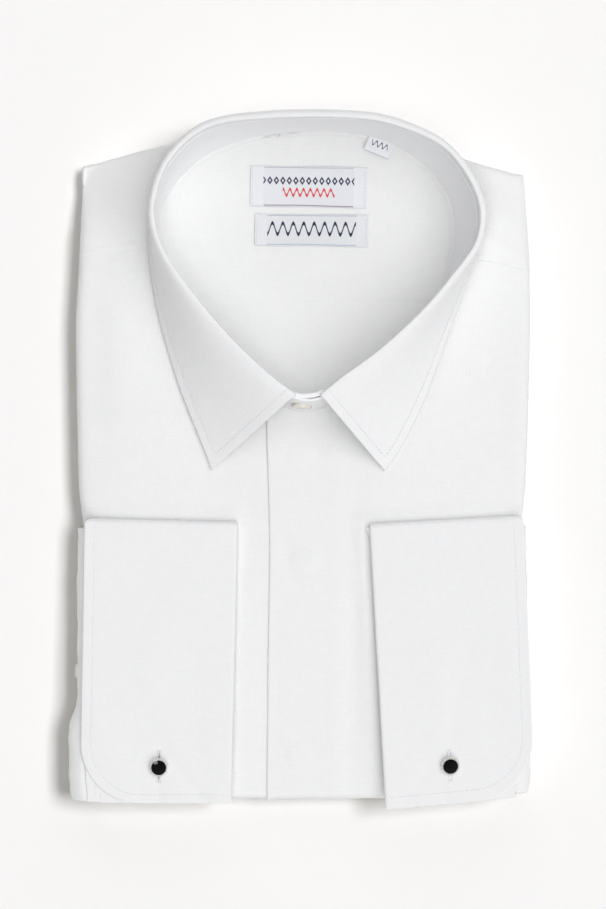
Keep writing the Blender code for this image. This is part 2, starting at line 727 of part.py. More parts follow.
def build_buttons():
    foot, fold, _, out, _ = collar_frame(BUTTON_TURN)
    up = fold - foot
    up /= np.linalg.norm(up)
    normal = np.cross(np.cross(up, out), up)
    normal /= np.linalg.norm(normal)
    share = BUTTON_LEVEL * BAND_SHARE
    seat = foot + share * (fold - foot) + (LAP_OUTWARD + COLLAR_WALL + SEAM_GAP) * normal
    centre = seat + BUTTON_HEIGHT / 2 * normal
    place = centre - (0, 0, BUTTON_HEIGHT / 2)
    button = turned("collar_button", BUTTON_DIAMETER / 2, BUTTON_HEIGHT, place, BUTTON, shirt)
    tilt = math.asin(normal[2])
    button.rotation_euler = (math.pi / 2 - tilt, 0.0, math.atan2(normal[0], -normal[1]))
    bevel(button, BUTTON_EDGE, 1)

    x = SLEEVE_BUTTON_FACE - SEAM_GAP - SLEEVE_BUTTON_HEIGHT / 2
    place = (x, SLEEVE_BUTTON_Y, SLEEVE_BUTTON_Z - SLEEVE_BUTTON_HEIGHT / 2)
    button = turned("sleeve_button", SLEEVE_BUTTON_DIAMETER / 2, SLEEVE_BUTTON_HEIGHT, place, BUTTON, shirt)
    button.rotation_euler = (0.0, math.pi / 2, 0.0)
    bevel(button, BUTTON_EDGE, 1)


def build_labels():
    foot = CLOTH_TOP + SEAM_GAP
    for name, row in LABELS.items():
        size = dict(zip(LABEL_COLUMNS, row))
        place = (size["x"], size["y"], foot)
        label = block(name, (size["length"], size["height"], LABEL_WALL), place, LABEL)
        label.rotation_euler = (0.0, 0.0, math.radians(size["turn"]))


for old_object in list(bpy.data.objects):
    bpy.data.objects.remove(old_object, do_unlink=True)
shirt = bpy.data.collections.new("folded_dress_shirt")
helpers = bpy.data.collections.new("cutters")
bpy.context.scene.collection.children.link(shirt)
bpy.context.scene.collection.children.link(helpers)

build_core()
build_fronts()
build_placket()
build_yokes()
build_back()
build_band()
build_leaf()
for cuff_side in CUFFS:
    build_link(cuff_side, build_cuff(cuff_side))
    build_sleeve(cuff_side)
build_buttons()
build_labels()

stand = bpy.data.objects.new("garment", None)
stand.location = (-CENTRE_X * MM, -CENTRE_Y * MM, 0.0)
shirt.objects.link(stand)
for piece in list(shirt.objects) + list(helpers.objects):
    if piece is not stand:
        piece.parent = stand
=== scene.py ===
import math

import bpy
import numpy as np
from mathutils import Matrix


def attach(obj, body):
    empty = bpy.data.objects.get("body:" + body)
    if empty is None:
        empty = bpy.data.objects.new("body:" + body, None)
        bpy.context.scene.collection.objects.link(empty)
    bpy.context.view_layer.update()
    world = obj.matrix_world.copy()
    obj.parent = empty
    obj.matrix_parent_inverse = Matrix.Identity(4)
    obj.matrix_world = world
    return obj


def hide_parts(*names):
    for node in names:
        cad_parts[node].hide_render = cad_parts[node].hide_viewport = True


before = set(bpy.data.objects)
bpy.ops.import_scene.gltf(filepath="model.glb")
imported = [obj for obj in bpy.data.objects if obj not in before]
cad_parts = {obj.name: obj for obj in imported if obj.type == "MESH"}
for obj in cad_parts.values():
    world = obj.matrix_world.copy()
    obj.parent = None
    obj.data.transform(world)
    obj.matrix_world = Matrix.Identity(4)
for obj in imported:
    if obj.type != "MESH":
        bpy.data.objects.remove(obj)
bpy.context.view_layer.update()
print("frame loaded:", len(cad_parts), "solids")

mm = 0.001
garmentMiddle = np.array((0.2, 1.2, 0.0))  # every size below is in millimetres, about its own middle


# small curves and profiles

def ease(t):  # 0 to 1, level at both ends
    t = np.clip(t, 0.0, 1.0)
    return t * t * (3 - 2 * t)


def rounded(distance, reach):  # quarter ellipse: 0 at the edge, 1 from the reach inwards
    t = np.clip(distance / reach, 0.0, 1.0)
    return np.sqrt(np.maximum(1 - (1 - t) ** 2, 0.0))


def squared(distance, reach):  # the same with a squarer shoulder
    t = np.clip(distance / reach, 0.0, 1.0)
    return np.maximum(1 - (1 - t) ** 4, 0.0) ** 0.25


def hump(distance, width):  # bell curve
    return np.exp(-((distance / width) ** 2))


def unit(vectors):
    return vectors / np.maximum(np.linalg.norm(vectors, axis=-1, keepdims=True), 1e-9)


def stack(*parts):
    return np.stack(np.broadcast_arrays(*parts), axis=-1)


def softLine(rows, column, soften=5.0):  # the line through a table's rows, its corners eased
    rows = np.array(rows, float)
    at = np.arange(rows[0, 0] - 40, rows[-1, 0] + 40, 0.5)
    reach = np.arange(-3 * soften, 3 * soften + 0.1, 0.5)
    weight = np.exp(-((reach / soften) ** 2) / 2)
    value = np.pad(np.interp(at, rows[:, 0], rows[:, column]), len(reach) // 2, mode="edge")
    value = np.convolve(value, weight / weight.sum(), mode="valid")
    return lambda x: np.interp(x, at, value)


def softFolds(x, y, rows):  # each row: a segment from, to, then its width and height, as a bell-shaped ridge
    total = np.zeros(np.broadcast(x, y).shape)
    for x0, y0, x1, y1, width, height in rows:
        length = math.hypot(x1 - x0, y1 - y0)
        along = ((x - x0) * (x1 - x0) + (y - y0) * (y1 - y0)) / length
        across = ((x - x0) * (y1 - y0) - (y - y0) * (x1 - x0)) / length
        past = np.maximum(0, np.maximum(-along, along - length))
        total += height * np.exp(-((across / width) ** 2) - (past / (2.2 * width)) ** 2)
    return total


def cockle(x, y, seed, height, pitch):  # a sum of slow waves in seeded directions
    draw = np.random.default_rng(seed)
    total = 0
    for k in range(7):
        turn, phase, stretch = draw.uniform(0, math.pi), draw.uniform(0, 6.28), draw.uniform(0.7, 1.9)
        total = total + np.sin((x * math.cos(turn) + y * math.sin(turn)) * 6.28 / (pitch * stretch) + phase)
    return height * total / 2.6


def gathered(length, coarse, fine=(), edges=(True, True)):  # places along a side, closer at its edges and seams
    places = list(np.linspace(0, length, max(2, int(round(length / coarse)) + 1)))
    for near, away in zip(edges, (lambda d: d, lambda d: length - d)):
        if near:
            places += [away(d) for d in (0.06, 0.16, 0.32, 0.55, 0.85, 1.3)]
    for seam in fine:
        places += [seam + d for d in (-1.1, -0.6, -0.3, 0, 0.3, 0.6, 1.1)]
    places = np.unique(np.clip(places, 0, length))
    keep = np.concatenate([[True], np.diff(places) > 0.045])
    places = places[keep]
    places[-1] = length
    return places


def normalsOf(grid):  # across the surface: its down direction times its right direction
    return unit(np.cross(np.gradient(grid, axis=0), np.gradient(grid, axis=1)))


def lengthAlong(grid, axis):
    step = np.linalg.norm(np.diff(grid, axis=axis), axis=-1)
    start = np.zeros_like(np.take(step, [0], axis=axis))
    return np.concatenate([start, np.cumsum(step, axis=axis)], axis=axis)


# meshes

def quadsOf(index):
    return np.stack([index[:-1, :-1], index[1:, :-1], index[1:, 1:], index[:-1, 1:]], -1).reshape(-1, 4)


def meshPiece(name, points, faces, finish, replaced=(), uv=None, marks=None):
    mesh = bpy.data.meshes.new(name)
    mesh.from_pydata(((points - garmentMiddle) * mm).tolist(), [], faces)
    mesh.shade_smooth()
    if uv is not None:
        layer = mesh.uv_layers.new(name="cloth")
        corner = np.zeros(len(mesh.loops), np.int32)
        mesh.loops.foreach_get("vertex_index", corner)
        layer.data.foreach_set("uv", (uv[corner] * mm).astype(np.float32).ravel())
    for mark, values in (marks or {}).items():
        mesh.attributes.new(mark, "FLOAT", "POINT").data.foreach_set("value", values.astype(np.float32).ravel())
    mesh.materials.append(finish)
    made = bpy.data.objects.new(name, mesh)
    bpy.context.scene.collection.objects.link(made)
    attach(made, "root")
    if replaced:
        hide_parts(*replaced)
    return made


def plump(name, middle, half, finish, replaced=(), uv=None, marks=None, flip=False):
    # a closed cloth: the middle surface moved out by half its wall to both sides, its rim shared
    rows, columns = middle.shape[:2]
    half = np.broadcast_to(half, (rows, columns))[..., None]
    normal = normalsOf(middle) * (-1 if flip else 1)
    upper = np.arange(rows * columns).reshape(rows, columns)
    lower = upper.copy()
    lower[1:-1, 1:-1] = rows * columns + np.arange((rows - 2) * (columns - 2)).reshape(rows - 2, columns - 2)
    inside = (slice(1, -1), slice(1, -1))
    top = middle.copy()
    top[inside] += (normal * half)[inside]
    bottom = (middle - normal * half)[inside]
    points = np.concatenate([top.reshape(-1, 3), bottom.reshape(-1, 3)])

    def both(values):
        values = np.broadcast_to(values, (rows, columns) + values.shape[2:])
        inner = values[inside]
        return np.concatenate([values.reshape((-1,) + values.shape[2:]), inner.reshape((-1,) + values.shape[2:])])

    faces = np.concatenate([quadsOf(upper), quadsOf(lower)[:, ::-1]])
    if flip:
        faces = faces[:, ::-1]
    uv = None if uv is None else both(uv)
    marks = {mark: both(values) for mark, values in (marks or {}).items()}
    return meshPiece(name, points, faces.tolist(), finish, replaced, uv, marks)


def turnedShape(profile, steps=48):
    # a profile of (radius, height) carried round the upright axis, closed at both poles
    profile = np.array(profile, float)
    angle = np.arange(steps) * 2 * math.pi / steps
    rings = profile[1:-1]
    points = stack(rings[:, :1] * np.cos(angle), rings[:, :1] * np.sin(angle), rings[:, 1:2] + 0 * angle)
    points = np.concatenate([points.reshape(-1, 3), [[0, 0, profile[0, 1]], [0, 0, profile[-1, 1]]]])
    index = np.arange(len(rings) * steps).reshape(len(rings), steps)
    index = np.concatenate([index, index[:, :1]], axis=1)
    faces = quadsOf(index)[:, ::-1].tolist()
    foot, head = len(points) - 2, len(points) - 1
    faces += [[foot, b, a] for a, b in zip(index[0, :-1].tolist(), index[0, 1:].tolist())]
    faces += [[head, a, b] for a, b in zip(index[-1, :-1].tolist(), index[-1, 1:].tolist())]
    return points, faces


def placedShape(points, place, normal=(0, 0, 1), ahead=(0, 1, 0)):  # stands an upright shape on a normal
    up = unit(np.array(normal, float))
    side = unit(np.cross(np.array(ahead, float), up))
    return points[:, :1] * side + points[:, 1:2] * np.cross(up, side) + points[:, 2:3] * up + np.array(place, float)


def threads(starts, ends, normals, radius, arch):
    # short arched threads: five rings of six points from start to end, the middle raised by the arch
    share = np.linspace(0, 1, 5)
    angle = np.arange(6) * math.pi / 3
    way = unit(ends - starts)
    side = unit(np.cross(normals, way))
    middle = starts[:, None] + (ends - starts)[:, None] * share[:, None]
    lift = (arch * np.sin(math.pi * share) - 0.55 * arch)[:, None]
    middle = middle + normals[:, None] * lift
    girth = radius * np.array((0.45, 0.9, 1.0, 0.9, 0.45))[:, None, None]
    ring = side[:, None, None] * np.cos(angle)[:, None] + normals[:, None, None] * np.sin(angle)[:, None]
    points = middle[:, :, None] + girth * ring
    count = len(starts)
    base = np.arange(count)[:, None, None, None] * 30
    a, k = np.meshgrid(np.arange(4), np.arange(6), indexing="ij")
    n = (k + 1) % 6
    faces = np.stack([a * 6 + k, a * 6 + n, a * 6 + 6 + n, a * 6 + 6 + k], -1)[None] + base
    faces = faces.reshape(-1, 4).tolist()
    caps = np.arange(count)[:, None] * 30
    faces += (caps + np.arange(5, -1, -1)).tolist() + (caps + 24 + np.arange(6)).tolist()
    return points.reshape(-1, 3), faces


def seamThreads(name, path, normals, pitch, finish, radius=0.16, lift=0.05, fill=0.72):
    # stitches in a row: a thread over each pitch of the path, with a gap at each needle hole
    along = np.concatenate([[0], np.cumsum(np.linalg.norm(np.diff(path, axis=0), axis=1))])
    count = max(1, int(along[-1] / pitch))
    start = (np.arange(count) + (1 - fill) / 2) * pitch

    def at(lengths, of):
        return np.stack([np.interp(lengths, along, of[:, k]) for k in range(3)], axis=1)

    up = unit(at(start, normals))
    points, faces = threads(at(start, path) + up * lift, at(start + fill * pitch, path) + up * lift, up, radius, 0.14)
    return meshPiece(name, points, faces, finish)


# materials

def put(tree, socket, value):
    if isinstance(value, bpy.types.NodeSocket):
        tree.links.new(value, socket)
    else:
        socket.default_value = value


def calc(tree, operation, *values, clamp=False):
    made = tree.nodes.new("ShaderNodeMath")
    made.operation = operation
    made.use_clamp = clamp
    for socket, value in zip(made.inputs, values):
        put(tree, socket, value)
    return made.outputs[0]


def mixed(tree, share, first, second):
    made = tree.nodes.new("ShaderNodeMix")
    made.data_type = "RGBA"
    put(tree, made.inputs[0], share)
    put(tree, made.inputs[6], first)
    put(tree, made.inputs[7], second)
    return made.outputs[2]


def noiseOf(tree, vector, scale, detail=2.0, stretch=None):
    if stretch:
        turn = tree.nodes.new("ShaderNodeMapping")
        turn.inputs["Scale"].default_value = stretch
        put(tree, turn.inputs["Vector"], vector)
        vector = turn.outputs[0]
    made = tree.nodes.new("ShaderNodeTexNoise")
    made.inputs["Scale"].default_value = scale
    made.inputs["Detail"].default_value = detail
    put(tree, made.inputs["Vector"], vector)
    return made.outputs["Fac"]


def newGroup(name, inputs, outputs):
    group = bpy.data.node_groups.new(name, "ShaderNodeTree")
    for label, kind, value in inputs:
        socket = group.interface.new_socket(name=label, in_out="INPUT", socket_type=kind)
        if value is not None:
            socket.default_value = value
    for label, kind in outputs:
        group.interface.new_socket(name=label, in_out="OUTPUT", socket_type=kind)
    return group, group.nodes.new("NodeGroupInput").outputs, group.nodes.new("NodeGroupOutput").inputs


def waveOf(tree, value, period, phase=0.0):  # cosine of a length over a period
    turns = calc(tree, "DIVIDE", value, period)
    return calc(tree, "COSINE", calc(tree, "MULTIPLY_ADD", turns, 2 * math.pi, phase))


def buildPearlWeave():
    # dots on a staggered lattice: cosine across times cosine along, with threads and slubs
    group, given, result = newGroup(
        "pearlWeave",
        [("Place", "NodeSocketVector", None), ("Across", "NodeSocketFloat", 1.54), ("Along", "NodeSocketFloat", 1.85)],
        [("Height", "NodeSocketFloat"), ("Shade", "NodeSocketFloat")],
    )
    apart = group.nodes.new("ShaderNodeSeparateXYZ")
    group.links.new(given["Place"], apart.inputs[0])
    wander = calc(group, "MULTIPLY", calc(group, "SUBTRACT", noiseOf(group, given["Place"], 260.0), 0.5), 0.5)
    across = calc(group, "MULTIPLY_ADD", apart.outputs[0], 1000.0, wander)
    along = calc(group, "MULTIPLY_ADD", apart.outputs[1], 1000.0, wander)
    dots = calc(group, "MULTIPLY", waveOf(group, across, given["Across"]), waveOf(group, along, given["Along"]))
    warp = waveOf(group, across, calc(group, "MULTIPLY", given["Across"], 0.25))
    weft = waveOf(group, along, calc(group, "MULTIPLY", given["Along"], 0.25))
    fine = calc(group, "MULTIPLY", calc(group, "MULTIPLY", warp, weft), 0.25)
    slubs = calc(group, "ADD", noiseOf(group, given["Place"], 900.0, 1.0, (1.0, 0.16, 1.0)),
                 noiseOf(group, given["Place"], 900.0, 1.0, (0.16, 1.0, 1.0)))
    height = calc(group, "MULTIPLY_ADD", dots, 0.34, 0.5)
    height = calc(group, "MULTIPLY_ADD", fine, 0.5, height)
    height = calc(group, "MULTIPLY_ADD", calc(group, "SUBTRACT", slubs, 1.0), 0.35, height)
    group.links.new(height, result["Height"])
    shade = calc(group, "MULTIPLY_ADD", calc(group, "SUBTRACT", slubs, 1.0), 0.5,
                 calc(group, "MULTIPLY_ADD", dots, 0.3, 0.5))
    group.links.new(shade, result["Shade"])
    return group


def buildSeamPucker():
    # a groove along a stitch line, deeper at each needle hole; the second output marks the needle holes for a painted
    # shade in the cloth's colour
    group, given, result = newGroup(
        "seamPucker",
        [("Distance", "NodeSocketFloat", 9.0), ("Run", "NodeSocketFloat", 0.0), ("Pitch", "NodeSocketFloat", 1.9)],
        [("Height", "NodeSocketFloat"), ("HoleShade", "NodeSocketFloat")],
    )
    near = calc(group, "DIVIDE", given["Distance"], 0.5)
    groove = calc(group, "EXPONENT", calc(group, "MULTIPLY", calc(group, "MULTIPLY", near, near), -1.0))
    near = calc(group, "DIVIDE", given["Distance"], 0.3)
    narrow = calc(group, "EXPONENT", calc(group, "MULTIPLY", calc(group, "MULTIPLY", near, near), -1.0))
    holes = calc(group, "MULTIPLY_ADD", waveOf(group, given["Run"], given["Pitch"]), 0.5, 0.5)
    holes = calc(group, "MULTIPLY", calc(group, "POWER", holes, 3.0), narrow)
    depth = calc(group, "MULTIPLY_ADD", groove, 0.22, calc(group, "MULTIPLY", holes, 0.9))
    group.links.new(calc(group, "MULTIPLY", depth, -1.0), result["Height"])
    group.links.new(holes, result["HoleShade"])
    return group


pearlWeave = buildPearlWeave()
seamPucker = buildSeamPucker()


def newFinish(name, roughness, **constants):
    finish = bpy.data.materials.new(name)
    finish.use_nodes = True
    shader = finish.node_tree.nodes["Principled BSDF"]
    shader.inputs["Roughness"].default_value = roughness
    for socket, value in constants.items():
        shader.inputs[socket.replace("_", " ")].default_value = value
    return finish, finish.node_tree, shader


def groupNode(tree, group, **values):
    made = tree.nodes.new("ShaderNodeGroup")
    made.node_tree = group
    for label, value in values.items():
        put(tree, made.inputs[label], value)
    return made.outputs


def clothFinish(name, settings):
    finish, tree, shader = newFinish(name, settings["roughness"], Sheen_Weight=settings["sheen"], Sheen_Roughness=0.6)
    place = tree.nodes.new("ShaderNodeUVMap")
    place.uv_map = "cloth"
    weave = groupNode(tree, pearlWeave, Place=place.outputs[0], Across=settings["across"], Along=settings["along"])
    seam = tree.nodes.new("ShaderNodeAttribute")
    seam.attribute_name = "seamGap"
    run = tree.nodes.new("ShaderNodeAttribute")
    run.attribute_name = "seamRun"
    pucker = groupNode(tree, seamPucker, Distance=seam.outputs["Fac"], Run=run.outputs["Fac"], Pitch=settings["stitch"])
    tone = mixed(tree, weave["Shade"], settings["low"], settings["high"])
    where = tree.nodes.new("ShaderNodeTexCoord").outputs["Object"]
    patches = calc(tree, "MULTIPLY", calc(tree, "SUBTRACT", noiseOf(tree, where, 22.0, 3.0), 0.42, clamp=True), 0.16)
    tone = mixed(tree, patches, tone, settings["soft"])
    # painted shade: the colour darkens towards the hole colour at each needle hole, as if shadowed in it
    tone = mixed(tree, calc(tree, "MULTIPLY", pucker["HoleShade"], 0.10), tone, settings["hole"])
    tree.links.new(tone, shader.inputs["Base Color"])
    height = calc(tree, "MULTIPLY_ADD", pucker["Height"], settings["seamDepth"],
                  calc(tree, "MULTIPLY", weave["Height"], settings["relief"]))
    bump = tree.nodes.new("ShaderNodeBump")
    bump.inputs["Distance"].default_value = mm
    tree.links.new(height, bump.inputs["Height"])
    tree.links.new(bump.outputs[0], shader.inputs["Normal"])
    return finish


shirting = {
    "low": (0.802, 0.804, 0.806, 1), "high": (0.876, 0.878, 0.88, 1), "soft": (0.83, 0.832, 0.836, 1),
    # hole: the colour of the painted shade in the needle holes
    "hole": (0.60, 0.61, 0.63, 1), "roughness": 0.85, "sheen": 0.12, "across": 1.54, "along": 1.85,
    "relief": 0.05, "seamDepth": 0.10, "stitch": 1.9,
}
stiffened = dict(
    shirting, low=(0.805, 0.807, 0.816, 1), high=(0.876, 0.878, 0.888, 1), soft=(0.83, 0.832, 0.842, 1), roughness=0.78,
)
shirtCloth = clothFinish("shirtCloth", shirting)
crispCloth = clothFinish("crispCloth", stiffened)
# painted light: a lighter copy of the stiffened cloth for the band, so its shaded inside face comes out brighter
lightenedBandFinish = clothFinish("bandCloth", dict(
    stiffened, low=(0.868, 0.870, 0.879, 1), high=(0.932, 0.934, 0.943, 1), soft=(0.892, 0.894, 0.903, 1),
))
# painted shade: a darker copy of the shirting for the cloth inside the neck, standing in for the shade there
shadedInsideCloth = clothFinish("shadedInsideCloth", dict(
    shirting, low=(0.764, 0.766, 0.768, 1), high=(0.834, 0.836, 0.838, 1), soft=(0.79, 0.792, 0.796, 1),
))


def plainThread(name, colour):  # sewing thread: a twist across its own length, and a little sheen
    finish, tree, shader = newFinish(name, 0.6, Sheen_Weight=0.2)
    where = tree.nodes.new("ShaderNodeTexCoord").outputs["Object"]
    strands = noiseOf(tree, where, 2600.0, 2.0)
    low = tuple(0.8 * c for c in colour[:3]) + (1,)
    tree.links.new(mixed(tree, strands, low, colour), shader.inputs["Base Color"])
    bump = tree.nodes.new("ShaderNodeBump")
    bump.inputs["Distance"].default_value = 0.1 * mm
    tree.links.new(strands, bump.inputs["Height"])
    tree.links.new(bump.outputs[0], shader.inputs["Normal"])
    return finish


whiteThread = plainThread("whiteThread", (0.86, 0.865, 0.885, 1))
creamThread = plainThread("creamThread", (0.88, 0.87, 0.82, 1))

# the folded body

body = {
    "top": 21.8, "fold": 10.0, "sideReach": 7.0, "endReach": 6.0, "bottom": -157.0,
    "underReach": 5.0, "underDrop": 3.4, "crown": 0.45, "leftCrown": 0.3, "rightRoll": 1.9, "leftRoll": 0.7,
    "shoulderFall": 5.8, "cornerFall": 4.8, "cornerLift": 2.6, "placketRise": 0.8, "cockle": 0.10, "wall": 0.45,
    "sides": [(-157.0, -100.5, 102.5), (-28.0, -100.8, 102.6), (-16.0, -102.8, 104.8), (28.0, -103.9, 106.4),
              (65.0, -104.4, 107.2), (93.0, -102.6, 106.8), (136.0, -101.0, 104.0)],
    "shoulders": [(-101.5, 136.0), (-90.0, 140.0), (-61.0, 147.5), (-20.0, 156.0), (35.0, 155.0), (61.0, 146.5),
                  (79.0, 139.5), (104.5, 132.3)],
    "yokeSeam": [(-103.0, 93.4), (-89.0, 96.2), (-62.0, 98.9), (71.0, 94.6), (93.0, 91.1), (107.0, 86.6)],
    "folds": [
        (84, 111, 104, 101, 4.5, -0.55), (80, 104, 104, 94, 3.0, 0.4), (82, 136, 100, 117, 7.0, -0.7),
        (-98, 128, -84, 112, 7.0, -0.5), (-100, 104, -80, 101, 4.0, 0.35), (-80, 92, -84, 40, 9.0, 0.5),
        (-94, 70, -92, 10, 6.0, -0.35), (72, 70, 66, 10, 10.0, 0.35), (92, 60, 96, -15, 7.0, -0.4),
        (-22, -60, -24, -150, 5.0, 0.35), (24, -70, 23, -150, 4.0, -0.4), (-24, -20, -26, -50, 4.0, -0.3),
        (45, -12, 96, -16, 6.0, 0.3), (-90, -14, -40, -16, 6.0, 0.25), (-60, 30, -40, -10, 9.0, -0.3),
        (29.3, -36, 36.6, -150, 4.6, 1.2), (-94, -24.3, -34, -26.0, 4.2, 1.2), (38, -26.6, 99, -23.0, 4.2, 1.2),
        (101, 118, 102, 15, 11.0, 0.8),
    ],
}
rightSide = softLine(body["sides"], 1)
leftSide = softLine(body["sides"], 2)
shoulderLine = softLine(body["shoulders"], 1)
yokeSeam = softLine(body["yokeSeam"], 1)


def bottomLine(x):  # the bottom fold, a little shorter at the wearer's left corner
    return body["bottom"] + body["cornerLift"] * ease((x - 78) / 14)


def bodyHeight(x, y):
    # the fronts' outer face: level, rounded down to the side and end folds, with its crown and its soft folds
    inRight, inLeft = x - rightSide(y), leftSide(y) - x
    side = np.minimum(inRight, inLeft)
    end = np.minimum(y - bottomLine(x), shoulderLine(x) - y)
    rise = squared(side, body["sideReach"]) * squared(end, body["endReach"])
    crown = -body["crown"] * ease(1 - inRight / 42) ** 2 - body["leftCrown"] * ease(1 - inLeft / 42) ** 2
    crown -= body["rightRoll"] * np.exp(-np.maximum(inRight, 0) / 8) + body["leftRoll"] * np.exp(-np.maximum(inLeft, 0) / 5)
    crown -= body["cornerFall"] * ease(1 - np.hypot(x + 103, y - 138) / 48) ** 1.3
    under = ease((x + 15.5) / 4) * (1 - ease((x - 15.5) / 11)) * (1 - ease((y - 17) / 8))
    crown += body["placketRise"] * under
    crown -= body["shoulderFall"] * ease(1 - (shoulderLine(x) - y) / 42) ** 1.4
    crown -= 0.5 * ease(1 - (y - body["bottom"]) / 30) ** 2
    relief = softFolds(x, y, body["folds"]) + cockle(x, y, 4, body["cockle"], 46)
    return body["fold"] + (body["top"] - body["fold"] + crown + relief) * rise


def foldPath(s, reach, arc, underArc):
    # a length s from where the flat ends: how far in from the fold's edge it is, and the sine of its turn
    turn = np.where(s > -arc, 1 + s / arc, (s + arc) / underArc)
    turn = np.clip(turn, -0.92, 1.0) * math.pi / 2
    distance = np.where(turn >= 0, reach, body["underReach"]) * (1 - np.cos(turn)) + np.maximum(s, 0)
    return distance, np.sin(turn)


def foldedSteps(length, coarse, seams=()):  # lengths from under the fold, round it and over the flat
    under = -15.0 - np.linspace(7.2, 0.9, 8)
    arc = np.linspace(-15.0, 0, 20)[:-1]
    return np.concatenate([under, arc, gathered(length, coarse, seams, edges=(False, True))])


def bodyPoints(x, y, sideSine, endSine):
    low = np.clip(np.maximum(-np.minimum(sideSine, 0), -np.minimum(endSine, 0)), 0, 1)
    z = np.where(low > 0, body["fold"] - body["underDrop"] * low, bodyHeight(x, y))
    return stack(x, y, z)


collar = {
    # seam x, y; inner edge of the fold x, y, z; outer edge of the leaf x, y, z; bulge
    "rows": [
        (-3.0, 24.6, -1.5, 30.1, 52.0, -41.0, -4.3, 23.9, 1.0), (-14.0, 31.4, -12.5, 38.3, 52.5, -45.0, 6.5, 23.9, 1.5),
        (-27.6, 42.7, -27.4, 52.1, 53.0, -51.1, 21.5, 23.9, 2.0), (-40.1, 57.0, -40.0, 66.0, 53.5, -57.5, 39.0, 23.9, 2.5),
        (-54.0, 80.0, -55.0, 85.0, 54.8, -66.0, 69.0, 23.9, 3.0), (-62.5, 99.0, -63.4, 101.0, 56.0, -70.0, 97.0, 23.9, 2.5),
        (-64.2, 114.4, -65.0, 117.0, 56.5, -69.4, 116.0, 23.9, 2.0), (-54.5, 131.0, -57.5, 136.0, 57.3, -63.2, 138.5, 23.9, 1.5),
        (-38.0, 143.3, -40.5, 149.6, 58.2, -46.0, 156.4, 17.0, 1.0), (-13.0, 150.5, -13.0, 153.4, 59.3, -14.0, 162.0, 14.0, 1.0),
        (20.0, 151.4, 21.0, 153.6, 59.5, 21.5, 162.2, 14.0, 1.0), (42.0, 146.3, 43.0, 150.2, 59.0, 46.5, 158.4, 15.0, 1.0),
        (60.0, 133.5, 65.5, 139.5, 58.1, 70.5, 145.4, 21.5, 1.5), (70.0, 117.5, 79.3, 119.0, 57.0, 86.0, 120.0, 23.9, 2.0),
        (71.0, 99.0, 79.4, 100.0, 56.0, 84.0, 99.5, 23.9, 2.0), (66.0, 78.5, 67.5, 82.4, 55.2, 76.6, 79.5, 23.9, 2.5),
        (50.5, 58.8, 53.2, 66.0, 54.5, 69.2, 59.0, 23.9, 2.5), (32.4, 40.9, 35.2, 49.8, 53.5, 58.2, 29.0, 23.9, 2.0),
        (18.5, 30.4, 19.0, 38.0, 52.6, 47.5, 7.0, 23.9, 1.5), (8.0, 25.0, 9.1, 29.8, 52.0, 39.4, -4.9, 23.9, 1.0),
    ],
    "foot": 21.9, "bandShare": 0.88, "underLap": 1.4, "upperLap": 0.525, "lapIn": 1.55, "lapThick": 1.1, "lapOut": 0.2,
    "lip": 0.9, "leafWall": 1.25, "bandWall": 1.3, "seamInset": 4.3,
    "neckBack": 9.6, "neckFront": 19.55,
}


def sections(turn, closed=True):
    # the collar's rows at fractional places, on a Catmull-Rom curve
    rows = np.array(collar["rows"])
    count = len(rows)
    turn = np.asarray(turn, float)
    step = np.floor(turn).astype(int)
    if closed:
        before, start, end, after = (rows[(step + k) % count] for k in (-1, 0, 1, 2))
    else:
        step = np.clip(step, 0, count - 2)
        more = np.concatenate([[2 * rows[0] - rows[1]], rows, [2 * rows[-1] - rows[-2]]])
        before, start, end, after = (more[step + 1 + k] for k in (-1, 0, 1, 2))
    t = (turn - step)[..., None]
    bend = 3 * start - before - 3 * end + after
    swing = 2 * before - 5 * start + 4 * end - after
    return start + 0.5 * (t * (end - before) + t * t * swing + t**3 * bend)


def seamLine(turn, outset=0.0):  # the neck seam, moved outwards
    seam = sections(turn)[:, :2]
    way = unit(sections(turn + 0.05)[:, :2] - sections(turn - 0.05)[:, :2])
    return seam + outset * stack(-way[:, 1], way[:, 0])


def neckLine(low, high, outset=0.0):
    seam = seamLine(np.linspace(low, high, 160), outset)
    order = np.argsort(seam[:, 1])
    return lambda y: np.interp(y, seam[order, 1], seam[order, 0])


neckRight = neckLine(collar["neckFront"] - len(collar["rows"]), collar["neckBack"])
neckLeft = neckLine(collar["neckBack"], collar["neckFront"])

fronts = {"split": 8.0, "tuck": 0.9, "neckFoot": 23.0, "underYoke": 2.5, "grid": 1.5, "bendFrom": 40.0}


